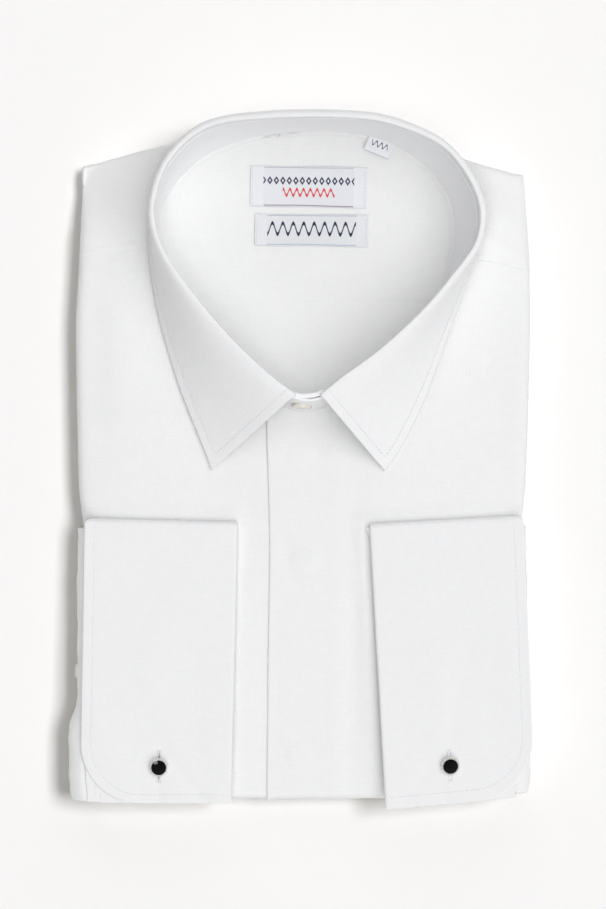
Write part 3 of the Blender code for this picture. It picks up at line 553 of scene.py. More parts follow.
def buildFront(side):
    # a front: lengths across from under the side fold to the placket, and up from under the bottom fold to the yoke
    edge, neck, sign = (rightSide, neckRight, -1) if side == "right" else (leftSide, neckLeft, 1)
    across = foldedSteps(103.0, fronts["grid"])
    share = np.clip(across, 0, None) / across[-1]
    up = foldedSteps(246.0, fronts["grid"])
    distance, endSine = foldPath(up, body["endReach"], 15.0, 7.2)
    y = (body["bottom"] + distance)[:, None] + 0 * across
    sideDistance, sideSine = foldPath(across, body["sideReach"], 15.0, 7.2)
    flatStart = edge(y) - sign * body["sideReach"]
    opened = ease((y - fronts["neckFoot"] + 4) / 7)
    inner = fronts["split"] + sign * 0.15
    atNeck = neck(np.maximum(y, fronts["neckFoot"] + 3)) + sign * fronts["tuck"]
    inner = inner + opened * (atNeck - inner)
    x = np.where(across < 0, edge(y) - sign * sideDistance, flatStart + (inner - flatStart) * share)
    y = y + (bottomLine(x) - body["bottom"]) * (1 - ease(distance[:, None] / 25))
    seamEnd = yokeSeam(edge(90.0))
    rise = np.clip((y - fronts["bendFrom"]) / (seamEnd - fronts["bendFrom"]), 0, None) ** 2
    y = y + rise * (yokeSeam(x) + fronts["underYoke"] - seamEnd) * np.minimum(1, rise)
    z = bodyPoints(x, y, sideSine + 0 * y, endSine[:, None] + 0 * y)
    z[..., 2] -= 0.55 * ease((y - yokeSeam(x) + 0.4) / 2.0)
    run = lengthAlong(z, 1)
    uv = stack(sign * (run[:, -1:] - run) + 8.0, lengthAlong(z, 0)[:, -30:-29] - 160)
    half = np.full(z.shape[:2], body["wall"])
    normal = normalsOf(z) * (1 if side == "right" else -1) * -1
    z = z - normal * body["wall"]
    made = plump(f"front_{side}_cloth", z, half, shirtCloth, [f"front_{side}"], uv,
                 {"seamGap": np.full(half.shape, 9.0)}, flip=side == "right")
    return made


placket = {
    "left": -14.6, "right": 18.4, "stitch": 15.2, "top": 23.4, "lift": 1.35, "flush": 0.72, "wall": 0.6, "grid": 0.9,
    "edge": [(-157.0, -15.2), (-97.0, -14.7), (-68.0, -14.2), (-38.0, -13.8), (-14.0, -14.3), (15.0, -15.4), (26.0, -15.8)],
    "bumps": [(1.4, -46.8, 5.6, 0.55), (-0.4, -135.9, 5.6, 0.45), (0.6, 3.0, 5.6, 0.3)],
    "folds": [(-6, -40, -3, -52, 4.0, -0.35), (6, -42, 7, -54, 3.0, 0.3), (-8, -120, 4, -131, 6.0, -0.35),
              (10, -10, 11, -150, 3.0, 0.12), (-10, -60, -10, -150, 3.0, -0.12)],
}


placketEdge = softLine(placket["edge"], 1)


def placketStitch(y):
    return placket["stitch"] - 0.9 * ease((y + 60) / 60) + 0.25 * np.sin(y / 31)


def placketLift(x, y):
    # how far the placket stands off the front, which itself swells under it: most at its open edge,
    # flush past its stitches
    share = ease((x - placket["left"]) / (placket["right"] - placket["left"]))
    under = ease((x + 15.5) / 4) * (1 - ease((x - 15.5) / 11)) * (1 - ease((y - 17) / 8))
    lift = placket["lift"] + (placket["flush"] - placket["lift"]) * share - body["placketRise"] * under
    lift = lift - 0.22 * hump(x - placketStitch(y), 1.2) + 0.6 * ease((y - 18) / 5)
    for bx, by, radius, height in placket["bumps"]:
        away = np.hypot(x - bx, y - by)
        lift = lift + height * (1 - ease((away - radius + 1.6) / 3.2))
    return lift + softFolds(x, y, placket["folds"]) * (1 - share**2)


def buildPlacket():
    width = placket["right"] - placket["left"]
    across = placket["left"] + gathered(width, placket["grid"], [placket["stitch"] - placket["left"]])
    up = foldedSteps(placket["top"] - body["bottom"] - body["endReach"], 1.4)
    distance, endSine = foldPath(up, body["endReach"], 15.0, 7.2)
    y = (body["bottom"] + distance)[:, None] + 0 * across
    x = across + 0 * y
    x = x + (placketEdge(y) - placket["left"]) * ease((0.3 * width - (x - placket["left"])) / (0.3 * width))
    foot = seamLine(np.linspace(-1.9, 1.3, 60), 1.15)
    foot = foot[np.argsort(foot[:, 0])]
    y = y + (np.interp(x, foot[:, 0], foot[:, 1]) - placket["top"]) * np.clip((y - 8) / (placket["top"] - 8), 0, 1) ** 2
    face = bodyPoints(x, y, 1 + 0 * y, endSine[:, None] + 0 * y)
    normal = -normalsOf(face)
    edge = np.minimum(across - across[0], across[-1] - across) + 0 * y
    edge = np.minimum(edge, lengthAlong(face, 0)[-1:] - lengthAlong(face, 0))
    half = placket["wall"] * rounded(edge, 0.9)
    middle = face + normal * (placketLift(x, y) - placket["wall"])[..., None]
    uv = stack(x, lengthAlong(face, 0) - 160)
    marks = {"seamGap": np.abs(x - placketStitch(y)), "seamRun": y}
    made = plump("placket_cloth", middle, half, shirtCloth, ["placket"], uv, marks, flip=True)
    line = np.linspace(placket["top"] - 1, body["bottom"] + 5.5, 400)
    seamX = placketStitch(line)
    path = stack(seamX, line, bodyHeight(seamX, line) + placketLift(seamX, line))
    seamThreads("placket_stitches", path, np.tile((0.0, 0, 1), (400, 1)), 1.9, whiteThread, lift=0.06)
    return made


yokes = {
    "stops": (5.02, 6.4, 13.2, 14.25), "tuck": 1.0, "ridge": 0.2, "innerSeam": 74.5, "innerTop": 152.1,
    "innerWall": 0.45, "backDrop": 0.1,
    "innerFolds": [(-4, 150, -6, 138, 2.2, 0.25), (6, 151, 6, 136, 2.6, -0.25), (17, 151, 18, 137, 2.2, 0.25),
                   (28, 150, 30, 140, 2.6, -0.2), (-20, 148, -22, 138, 3.0, 0.15), (-34, 142, -30, 130, 3.0, -0.3),
                   (-50, 90, -20, 78, 8.0, 0.5), (30, 90, 55, 96, 9.0, -0.6), (4, 86, 6, 76, 4.0, 0.3),
                   (-56, 120, -44, 100, 8.0, 0.4), (10, 96, 40, 88, 6.0, 0.3), (-10, 112, -18, 88, 8.0, -0.3)],
    "backFolds": [(-8, 70, -2, 40, 7.0, -0.4), (14, 72, 10, 44, 6.0, 0.35), (34, 70, 22, 50, 6.0, -0.35)],
}


def yokeOutline(count):
    # up the right side, along the shoulders, down the left side
    corner = 0.6
    sideA = np.linspace(93.6, 135.8, 60)
    shoulderX = np.linspace(-101.5 + corner, 104.5 - corner, 200)
    sideB = np.linspace(132.2, 87.0, 66)
    rows = np.concatenate([stack(rightSide(sideA), sideA), stack(shoulderX, shoulderLine(shoulderX)),
                           stack(leftSide(sideB), sideB)])
    parts = (60, 260, 325)
    along = np.concatenate([[0], np.cumsum(np.linalg.norm(np.diff(rows, axis=0), axis=1))])
    at = np.linspace(0, along[-1], count)
    outline = stack(np.interp(at, along, rows[:, 0]), np.interp(at, along, rows[:, 1]))
    reach = np.array((0.0, along[parts[0]], along[parts[1]], along[parts[2]]))
    return outline, np.interp(at, reach, yokes["stops"])


def buildOuterYoke():
    outline, turn = yokeOutline(300)
    inner = sections(turn)[:, :2]
    way = outline - inner
    length = np.linalg.norm(way, axis=1)
    over = np.linspace(0, 1, 44)
    reach = np.minimum(body["sideReach"], 0.6 * length)[:, None]
    start = yokes["tuck"]
    flat = length[:, None] - reach - start
    arc = np.linspace(0, 1, 13)[1:]
    flatPart = start + flat * over
    arcPart = length[:, None] - reach * (1 - np.sin(arc * math.pi / 2))
    planar = np.concatenate([flatPart, arcPart], axis=1)
    xy = inner[:, None] + unit(way)[:, None] * planar[..., None]
    seamPull = np.maximum(hump(np.arange(300) / 4.0, 1.0), hump((299 - np.arange(300)) / 4.0, 1.0))[:, None]
    target = yokeSeam(xy[..., 0])
    atEnd = np.minimum(np.arange(300), 299 - np.arange(300))[:, None] == 0
    xy[..., 1] += seamPull * (target - xy[..., 1]) * np.where(atEnd, 1.0, 0.35)
    x, y = xy[..., 0], xy[..., 1]
    face = stack(x, y, bodyHeight(x, y))
    turnUnder = np.linspace(0, 0.9, 7)[1:] * math.pi / 2
    back = -unit(way)[:, None] * (body["underReach"] * (1 - np.cos(turnUnder)))[None, :, None]
    under = np.concatenate([outline[:, None] + back, np.broadcast_to(
        (body["fold"] - body["underDrop"] * np.sin(turnUnder))[None, :, None], (300, 6, 1))], axis=-1)
    face = np.concatenate([face, under], axis=1)
    seamGap = lengthAlong(face, 0)
    nearSeam = np.minimum(seamGap, seamGap[-1:] - seamGap)
    normal = normalsOf(face)
    lift = yokes["ridge"] * (0.45 + 0.55 * hump(nearSeam, 3.5)) - 0.25 * hump(nearSeam - 4.2, 0.9)
    half = body["wall"] * (0.06 + 0.94 * rounded(nearSeam, 1.5))
    middle = face + normal * (lift - body["wall"])[..., None]
    uv = (inner[:, None] + unit(way)[:, None] * (lengthAlong(face, 1) + start)[..., None])
    marks = {"seamGap": np.full(half.shape, 9.0)}
    return plump("outer_yoke_cloth", middle, half, shirtCloth, ["yoke_outer"], uv, marks)


def neckFloor(x, y):  # a sag under the middle of the neck's floor
    return 0.8 * np.sin(math.pi * np.clip((x - neckRight(y)) / (neckLeft(y) - neckRight(y)), 0, 1)) ** 1.5


def buildNeckPanels():
    # flat cloth inside the neck, its rim curled up into the collar's seam
    count = len(collar["rows"])
    outerRight = neckLine(collar["neckFront"] - count, collar["neckBack"], 1.0)
    outerLeft = neckLine(collar["neckBack"], collar["neckFront"], 1.0)
    seam = seamLine(np.linspace(0, count, 500, endpoint=False))

    def panel(name, low, high, steps, drop, node):
        y = (low + (high - low) * np.sin(np.linspace(0, math.pi / 2, steps)))[:, None]
        u = np.linspace(0, 1, 150)
        x = outerRight(y) + (outerLeft(y) - outerRight(y)) * u
        if node == "yoke_inner":
            y = y + ease((low + 6 - y) / 6) * (1.2 * np.cos((x + 50) / 34) - 0.6)
        y = y + 0 * x
        folds = softFolds(x, y, yokes["innerFolds"] + yokes["backFolds"])
        z = body["top"] - drop - neckFloor(x, y) + folds + cockle(x, y, 9, 0.10, 38)
        near = np.min([np.hypot(x - a, y - b) for a, b in seam], axis=0)
        z = z + (22.3 - z) * hump(np.maximum(near - 0.3, 0), 1.1)
        middle = stack(x, y, z)
        half = yokes["innerWall"] * (0.05 + 0.95 * rounded(lengthAlong(middle, 0), 1.5))
        # the darker inside copy of the shirting: painted shade
        return plump(name, middle, half, shadedInsideCloth, [node], stack(x, y),
                     {"seamGap": np.full(half.shape, 9.0)}, flip=True)

    inner = panel("inner_yoke_cloth", yokes["innerSeam"], yokes["innerTop"], 110, 0.3, "yoke_inner")
    back = panel("back_cloth", 25.0, yokes["innerSeam"] + 5.0, 90, 0.3 + yokes["backDrop"], "back_panel")
    return inner, back


print("body panels")
frontRight = buildFront("right")
frontLeft = buildFront("left")
placketCloth = buildPlacket()
outerYoke = buildOuterYoke()
innerYoke, backCloth = buildNeckPanels()

hidden = {"layers": 3, "inset": 0.7, "groove": 2.0, "corner": 8.0, "top": 20.0, "uneven": 0.35}


def outlineRing(count, inset):
    # the body's outline as a closed ring, its four corners rounded, moved in
    halfX, halfY = 103.0, 156.0
    cs, ct = hidden["corner"] / halfX, hidden["corner"] / halfY
    arc = np.linspace(0, math.pi / 2, 12)
    s, t = [], []
    for k, (a, b) in enumerate(((1, 1), (-1, 1), (-1, -1), (1, -1))):
        angle = arc + k * math.pi / 2
        s.append(a * (1 - cs) + cs * np.cos(angle))
        t.append(b * (1 - ct) + ct * np.sin(angle))
    s, t = np.concatenate(s + [s[0][:1]]), np.concatenate(t + [t[0][:1]])
    along = np.concatenate([[0], np.cumsum(np.hypot(np.diff(s) * halfX, np.diff(t) * halfY))])
    at = np.linspace(0, along[-1], count, endpoint=False)
    s, t = np.interp(at, along, s), np.interp(at, along, t)
    s = s * (1 - inset / halfX)
    t = t * (1 - inset / halfY)
    x = s * halfX
    for _ in range(4):
        y = bottomLine(x) + (t + 1) / 2 * (shoulderLine(x) - bottomLine(x))
        x = rightSide(y) + (s + 1) / 2 * (leftSide(y) - rightSide(y))
    return x, y, at


def buildHiddenFolds():
    # rings up the outline: each folded layer bulges like a half circle between two grooves
    count = 620
    levels = [(0.0, 40.0), (0.0, 12.0)]
    thick = (body["fold"] - 0.2) / hidden["layers"]
    for layer in range(hidden["layers"]):
        for share in np.linspace(0.02, 0.98, 9):
            deep = hidden["groove"] * (1 - math.sqrt(1 - (2 * share - 1) ** 2))
            levels.append(((layer + share) * thick, hidden["inset"] + deep))
    levels += [(body["fold"] + 1, 6.0), (body["fold"] + 5, 8.0)]
    levels += [(hidden["top"] - 1.2, inset) for inset in (12.0, 19.0, 27.0, 36.0, 52.0)]
    rings = []
    for height, inset in levels:
        _, _, at = outlineRing(count, 0)
        wave = sum(np.sin(at * 2 * math.pi * k / 1040 + 2.1 * k + 1.7 * math.floor(height / thick)) for k in (3, 5, 8, 13)) / 3
        x, y, _ = outlineRing(count, inset + hidden["uneven"] * wave * (height < body["fold"]) * (height > 0))
        peek = 1.9 * hump(x - 99, 6) * (y > 120) * (height < 7) * (height > 3)
        z = height + 0.25 * wave * (0 < height) * (height < body["fold"])
        if height > body["fold"]:  # kept under the fronts, which fall away at the shoulders
            z = np.minimum(z, bodyHeight(x, y) - 2.2)
        rings.append(stack(x, y + peek, np.maximum(z, 0)))
    rings = np.array(rings)
    index = np.arange(rings.shape[0] * count).reshape(-1, count)
    index = np.concatenate([index, index[:, :1]], axis=1)
    points = np.concatenate([rings.reshape(-1, 3), [[0, -1, 0.0], [0, -1, hidden["top"] - 1.2]]])
    faces = quadsOf(index)[:, ::-1].tolist()
    faces += [[len(points) - 2, b, a] for a, b in zip(index[0, :-1].tolist(), index[0, 1:].tolist())]
    faces += [[len(points) - 1, a, b] for a, b in zip(index[-1, :-1].tolist(), index[-1, 1:].tolist())]
    run = np.arange(count) * (1040 / count) + 0 * rings[..., 0]
    uv = np.concatenate([stack(run, lengthAlong(rings, 0)).reshape(-1, 2), [[0, 0], [0, 0]]])
    marks = {"seamGap": np.full(len(points), 9.0)}
    return meshPiece("folded_cloth_layers", points, faces, shirtCloth, ["folded_layers"], uv, marks)


foldedCloth = buildHiddenFolds()
print("collar")


def collarFrame(turn, closed=True):
    rows = sections(turn, closed)
    foot = np.concatenate([rows[..., :2], np.full(rows.shape[:-1] + (1,), collar["foot"])], axis=-1)
    ahead = (sections(np.asarray(turn) + 0.05) - sections(np.asarray(turn) - 0.05))[..., :2]
    out = unit(stack(-ahead[..., 1], ahead[..., 0], 0.0))
    return foot, rows[..., 2:5], rows[..., 5:8], out, rows[..., 8]


def underShare(turn):  # 1 on the thicker end that lies under the lap
    return ease((0.9 - turn) / 0.7)


def bandPoint(turn, v):
    # the band's inner face: from the neck seam v of the way up to its top edge, its ends lapped
    count = len(collar["rows"])
    foot, fold, _, out, _ = collarFrame(turn)
    inward = np.interp(turn, (-0.6, 1.2), (1.0, 0.0))
    outward = np.interp(turn, (count - 2.2, count - 0.4), (0.0, 1.0))
    shift = collar["lapOut"] * outward - (collar["lapIn"] + collar["lapThick"] * underShare(turn)) * inward
    swell = 0.5 * np.sin(math.pi * v)
    high = 0.3 + 0.7 * rounded(turn + collar["underLap"], 0.35)
    return foot + (v * high * collar["bandShare"])[..., None] * (fold - foot) + (shift + swell)[..., None] * out


def buildBand():
    count = len(collar["rows"])
    turn = np.linspace(-collar["underLap"], count + collar["upperLap"], 460)
    v = gathered(32.0, 1.1) / 32
    turns, vs = np.meshgrid(turn, v, indexing="ij")
    face = bandPoint(turns, vs)
    out = normalsOf(face)
    side = np.sign((out * collarFrame(turns)[3]).sum(-1).mean())
    wall = (collar["bandWall"] + collar["lapThick"] * underShare(turns)) / 2
    across = lengthAlong(face, 1)
    along = lengthAlong(face, 0)
    edge = np.minimum(np.minimum(across, across[:, -1:] - across), np.minimum(along, along[-1:] - along))
    half = wall * rounded(edge, wall) * (1 - 0.15 * hump(edge - 3.0, 0.6))
    middle = face + side * out * wall[..., None]
    uv = stack(along[:, :1] + 0 * across - 230, across)
    marks = {"seamGap": np.abs(edge - 3.0), "seamRun": along}
    # the lighter band copy: painted light
    return plump("collar_band_cloth", middle, half, lightenedBandFinish, ["collar_band"], uv, marks,
                 flip=side < 0)


def leafPoint(turn, v):
    # the leaf's outer face: up the inner lip, round the fold, then along a cubic curve that starts level and
    # lies down to its edge
    foot, fold, edge, out, _ = collarFrame(turn, closed=False)
    lip = collar["lip"]
    up = np.array((0.0, 0.0, 1.0))
    level = (edge - fold) * (1.0, 1.0, 0.0)
    reach = np.linalg.norm(level, axis=-1, keepdims=True)
    level = unit(0.35 * out * np.clip(1 - reach / 20, 0, 1) + level / np.maximum(reach, 1))
    drop = (fold - edge)[..., 2:3]
    low = foot + (collar["bandShare"] + 0.02) * (fold - foot)
    high = fold - lip * up
    v = v[..., None]
    inner = low + np.clip(v / 0.05, 0, 1) * (high - low)
    angle = np.clip((v - 0.05) / 0.03, 0, 1) * math.pi / 2
    corner = high + lip * ((1 - np.cos(angle)) * level + np.sin(angle) * up)
    start = fold + lip * level
    bow = np.clip(5 + (np.hypot(reach, drop) - 35) * 0.2, 5, 9.5)
    tilt = np.arctan2(drop, np.maximum(reach - 4, 0.5)) * np.interp(reach, (5, 40, 52), (0.8, 0.66, 0.48))
    first = start + bow * level
    away = np.linalg.norm(edge - first, axis=-1, keepdims=True)
    second = edge - 0.45 * away * (np.cos(tilt) * level - np.sin(tilt) * up)
    t = np.clip((v - 0.08) / 0.92, 0, 1)
    down = (1 - t) ** 3 * start + 3 * (1 - t) ** 2 * t * first + 3 * (1 - t) * t**2 * second + t**3 * edge
    return np.where(v < 0.05, inner, np.where(v < 0.08, corner, down))


def distanceToLine(points, line):  # nearest place of a line to each point of a grid, row by row
    found = np.empty(points.shape[:2])
    for k in range(len(points)):
        found[k] = np.linalg.norm(points[k][:, None] - line[None], axis=-1).min(axis=1)
    return found


def insetPath(grid, distance, inset, axis):
    # where the distance from an edge first reaches the inset, on each line of the grid that crosses that edge
    lines, far = (grid, distance) if axis == 1 else (grid.swapaxes(0, 1), distance.T)
    return np.array([[np.interp(inset, far[k], lines[k, :, c]) for c in range(3)] for k in range(len(lines))])


def buildLeaf():
    last = len(collar["rows"]) - 1
    ends = np.array((0, 0.004, 0.012, 0.026, 0.045, 0.07, 0.10, 0.14, 0.19, 0.25, 0.32, 0.4))
    turn = np.concatenate([ends, np.linspace(0.5, last - 0.5, 330), last - ends[::-1]])
    v = np.concatenate([np.linspace(0, 0.05, 5)[:-1], np.linspace(0.05, 0.08, 8)])
    falls = 0.08 + 0.92 * np.linspace(0, 1, 64) ** 0.95
    nearEdge = 1 - np.array((0.11, 0.1, 0.09, 0.08, 0.07, 0.05, 0.035, 0.022, 0.012, 0.005, 0.0))
    v = np.unique(np.concatenate([v, falls[falls < 0.88], nearEdge]))
    turns, vs = np.meshgrid(turn, v, indexing="ij")
    face = leafPoint(turns, vs)
    toPoint = np.maximum(hump(turns, 2.0), hump(last - turns, 2.0))
    face[..., 2] += cockle(face[..., 0], face[..., 1], 12, 0.10, 40) * ease((vs - 0.1) / 0.3) * (1 - toPoint)
    normal = normalsOf(face)
    side = np.sign((normal * collarFrame(turns, False)[3])[:, len(v) // 2].sum(-1).mean())
    outer = distanceToLine(face, face[:, -1])
    front = np.minimum(distanceToLine(face, face[0]), distanceToLine(face, face[-1]))
    front = np.where(vs < 0.08, 99.0, front)
    lip = lengthAlong(face, 1)
    wall = collar["leafWall"] / 2
    rim = np.minimum(np.minimum(outer, lip), np.minimum(lengthAlong(face, 0), lengthAlong(face[::-1], 0)[::-1]))
    seam = np.minimum(np.abs(outer - collar["seamInset"]) + 9 * (front < collar["seamInset"] - 0.4),
                      np.abs(front - collar["seamInset"]) + 9 * (outer < collar["seamInset"] - 0.4))
    half = wall * rounded(rim, wall) * (1 - 0.22 * hump(seam, 0.7))
    middle = face - side * normal * wall
    along = np.repeat(lengthAlong(face, 0)[:, len(v) // 3][:, None], len(v), axis=1)
    run = np.where(np.abs(outer - collar["seamInset"]) < np.abs(front - collar["seamInset"]), along, lip)
    marks = {"seamGap": seam, "seamRun": run}
    made = plump("collar_leaf_cloth", middle, half, crispCloth, ["collar_leaf"],
                 stack(along - 230, lip), marks, flip=side < 0)
    inset = collar["seamInset"]
    path = insetPath(face[:, ::-1], outer[:, ::-1], inset, 1)
    normals = insetPath((side * normal)[:, ::-1], outer[:, ::-1], inset, 1)
    inside = insetPath(np.repeat(front[:, ::-1, None], 3, axis=2), outer[:, ::-1], inset, 1)[:, 0] > inset
    seamThreads("collar_edge_stitches", path[inside], normals[inside], 2.0, whiteThread)
    for name, flip in (("right", False), ("left", True)):
        part = slice(-40, None) if flip else slice(0, 40)
        step = -1 if flip else 1
        grid, near = face[part][::step][:, vs[0] > 0.09], front[part][::step][:, vs[0] > 0.09]
        far = outer[part][::step][:, vs[0] > 0.09]
        path = insetPath(grid, near, inset, 0)
        normals = insetPath((side * normal)[part][::step][:, vs[0] > 0.09], near, inset, 0)
        outside = insetPath(np.repeat(far[..., None], 3, axis=2), near, inset, 0)[:, 0] > inset
        seamThreads(f"collar_point_stitches_{name}", path[outside], normals[outside], 2.0, whiteThread)
    return made


bandCloth = buildBand()
leafCloth = buildLeaf()
print("cuffs and sleeves")

cuff = {
    # hand fold top x, y; free edge top x, y; hand fold end x, y; free edge end x, y; link x, y
    "right": (-29.1, -28.5, -99.1, -26.9, -32.0, -157.2, -101.0, -157.4, -64.7, -140.5),
    "left": (32.5, -29.4, 103.0, -25.6, 39.8, -160.2, 107.8, -154.0, 68.9, -139.8),
    "width": 70.0, "length": 130.0, "base": 22.1, "lift": 3.8, "outer": 2.15, "inner": 0.75, "radius": 28.0,
    "wrist": 0.87, "under": 0.90, "wall": 0.52, "inset": 4.6, "grid": 0.95,
    "seamFoot": {"right": 4.0, "left": 5.4},
    "rightFolds": [
        (-76, -105, -66, -128, 4.5, -0.35), (-84, -112, -74, -134, 8.0, -0.35), (-61.5, -135, -47, -153, 3.4, -0.62),
        (-66, -133, -54, -150, 4.0, 0.22), (-64.6, -148, -64.8, -157, 1.8, -0.35), (-60, -131, -66, -129, 4.0, 0.3),
        (-50, -98, -42, -135, 10.0, -0.4), (-90, -70, -50, -84, 14.0, -0.3), (-92, -125, -80, -146, 6.0, 0.25),
        (-40, -128, -36, -150, 6.0, 0.3), (-55, -60, -70, -100, 12.0, 0.3),
    ],
    "leftFolds": [
        (66, -150, 67, -158, 1.8, -0.3), (76, -92, 70, -124, 6.0, -0.35), (62, -96, 66, -126, 7.0, 0.3),
        (86, -100, 92, -138, 8.0, -0.4), (52, -80, 96, -76, 10.0, -0.3), (48, -120, 58, -140, 6.0, -0.2),
        (80, -140, 96, -148, 5.0, -0.3), (60, -58, 92, -52, 9.0, 0.3), (56, -146, 50, -156, 4.0, -0.2),
    ],
}
cuff["turn"] = (cuff["outer"] - cuff["inner"]) / 2


def cuffPlace(side, across, along):  # the flat outline's point: across from the hand fold, along from the wrist fold
    c = np.array(cuff[side])
    top = c[0:2] + across[..., None] * (c[2:4] - c[0:2])
    end = c[4:6] + across[..., None] * (c[6:8] - c[4:6])
    return top + along[..., None] * (end - top)


def cuffMiddle(along):
    return cuff["base"] + cuff["outer"] + 0.5 + cuff["lift"] * along


def cuffRelief(side, x, y, along):
    fade = ease(along / 0.06)
    return (softFolds(x, y, cuff[f"{side}Folds"]) + cockle(x, y, 21 + len(side), 0.10, 44)) * fade


def cuffTop(side, a, b):
    # the turned-back leaf's outer face at a from its free edge and b from its end
    along = 1 - b / cuff["length"]
    turn = cuff["turn"] / cuff["width"]
    across = turn + (1 - turn) * (1 - a / (cuff["width"] - cuff["turn"]))
    xy = cuffPlace(side, across, along)
    z = cuffMiddle(along) + cuff["outer"] + cuff["wall"] + cuffRelief(side, xy[..., 0], xy[..., 1], along)
    return np.concatenate([xy, z[..., None]], axis=-1)


def cornerDistance(a, b, radius):  # from the edge of a leaf with one rounded corner
    inCorner = (a < radius) & (b < radius)
    return np.where(inCorner, radius - np.hypot(radius - a, radius - b), np.minimum(a, b))


def buildCuff(side):
    # columns: over the outer leaf from its free edge, round the hand fold, back under it
    # rows: from the end up over the wrist fold and down
    inset, foot, radius = cuff["inset"], cuff["seamFoot"][side], cuff["radius"]
    flat = cuff["width"] - cuff["turn"]
    a = gathered(flat, cuff["grid"], [inset], edges=(True, False))
    arc = np.linspace(0, math.pi, 9)[1:-1]
    back = np.concatenate([np.linspace(0, 0.95, 8), (0.975, 0.988, 0.995, 1.0)])  # close together at its raw end
    turn = cuff["turn"] / cuff["width"]
    share = np.concatenate([1 - a / flat, 0 * arc, 0 * back])
    isOuter = np.concatenate([np.ones(len(a)), np.zeros(len(arc) + len(back))]) > 0
    offArc = np.concatenate([np.zeros(len(a)), turn * (1 - np.sin(arc)), turn + (cuff["wrist"] - turn) * back])
    middle = (cuff["outer"] + cuff["inner"]) / 2
    spread = np.concatenate([np.full(len(a), cuff["outer"]), middle + cuff["turn"] * np.cos(arc),
                             np.full(len(back), cuff["inner"])])
    fromFree = np.concatenate([a, np.full(len(arc) + len(back), 99.0)])
    corner = radius - np.sqrt(radius**2 - (radius - np.minimum(fromFree, radius)) ** 2)
    topLength = cuff["length"] - cuff["outer"]
    b = gathered(topLength, cuff["grid"] * 1.15, [foot], edges=(True, False))
    bTop = corner + (1 - corner / topLength) * b[:, None]
    alongTop = 1 - bTop / cuff["length"]
    near = cuff["outer"] / cuff["length"]
    angle = np.linspace(0, math.pi, 13)[1:-1, None]
    alongArc = near - spread / cuff["length"] * np.sin(angle)
    bBack = gathered(topLength, 6.0, (), edges=(False, True))[::-1][:, None]
    alongBack = 1 - (corner + (1 - corner / topLength) * bBack) / cuff["length"]
    along = np.concatenate([alongTop, alongArc, alongBack])
    level = np.concatenate([np.ones((len(b), 1)), np.cos(angle), -np.ones((len(bBack), 1))]) + 0 * along
    lower = np.concatenate([np.zeros((len(b), 1)), ease(angle / math.pi), np.ones((len(bBack), 1))])
    free = 1 + (cuff["under"] - 1) * lower
    across = np.where(isOuter, turn + (free - turn) * share, offArc) + 0 * along
    xy = cuffPlace(side, across, along)
    relief = cuffRelief(side, xy[..., 0], xy[..., 1], along) * np.clip(level, 0, 1)
    z = cuffMiddle(along) + level * spread + relief
    grid = np.concatenate([xy, z[..., None]], axis=-1)
    fromEnd = np.concatenate([bTop, np.full((len(angle), len(corner)), 99.0), bBack + corner])
    distance = cornerDistance(fromFree + 0 * fromEnd, fromEnd, radius)
    seamAway = cornerDistance(fromFree + 0 * fromEnd, fromEnd + inset - foot, radius) - inset
    seamAway = np.where(lower == 0, seamAway, 9.0)
    rim = np.minimum(distance, lengthAlong(grid[:, ::-1], 1)[:, ::-1])
    half = cuff["wall"] * rounded(rim, 0.6) * (1 - 0.07 * hump(seamAway, 0.8))
    uv = stack(lengthAlong(grid, 1), lengthAlong(grid, 0)[:, 60:61])
    marks = {"seamGap": np.abs(seamAway), "seamRun": np.maximum(fromFree, fromEnd)}
    made = plump(f"cuff_{side}_cloth", grid, half, crispCloth, [f"cuff_{side}"], uv, marks,
                 flip=side == "right")

    turnAngle = np.linspace(0, math.pi / 2, 60)
    pathA = np.concatenate([np.full(160, inset), radius - (radius - inset) * np.cos(turnAngle),
                            np.linspace(radius, flat - 1, 80)])
    pathB = np.concatenate([np.linspace(cuff["length"] - 3, radius, 160),
                            radius - (radius - foot) * np.sin(turnAngle), np.full(80, foot)])
    path = cuffTop(side, pathA, pathB)
    up = np.tile((0.0, 0, 1), (len(path), 1))
    seamThreads(f"cuff_{side}_stitches", path, up, 1.9, whiteThread, lift=-0.02)
    return made


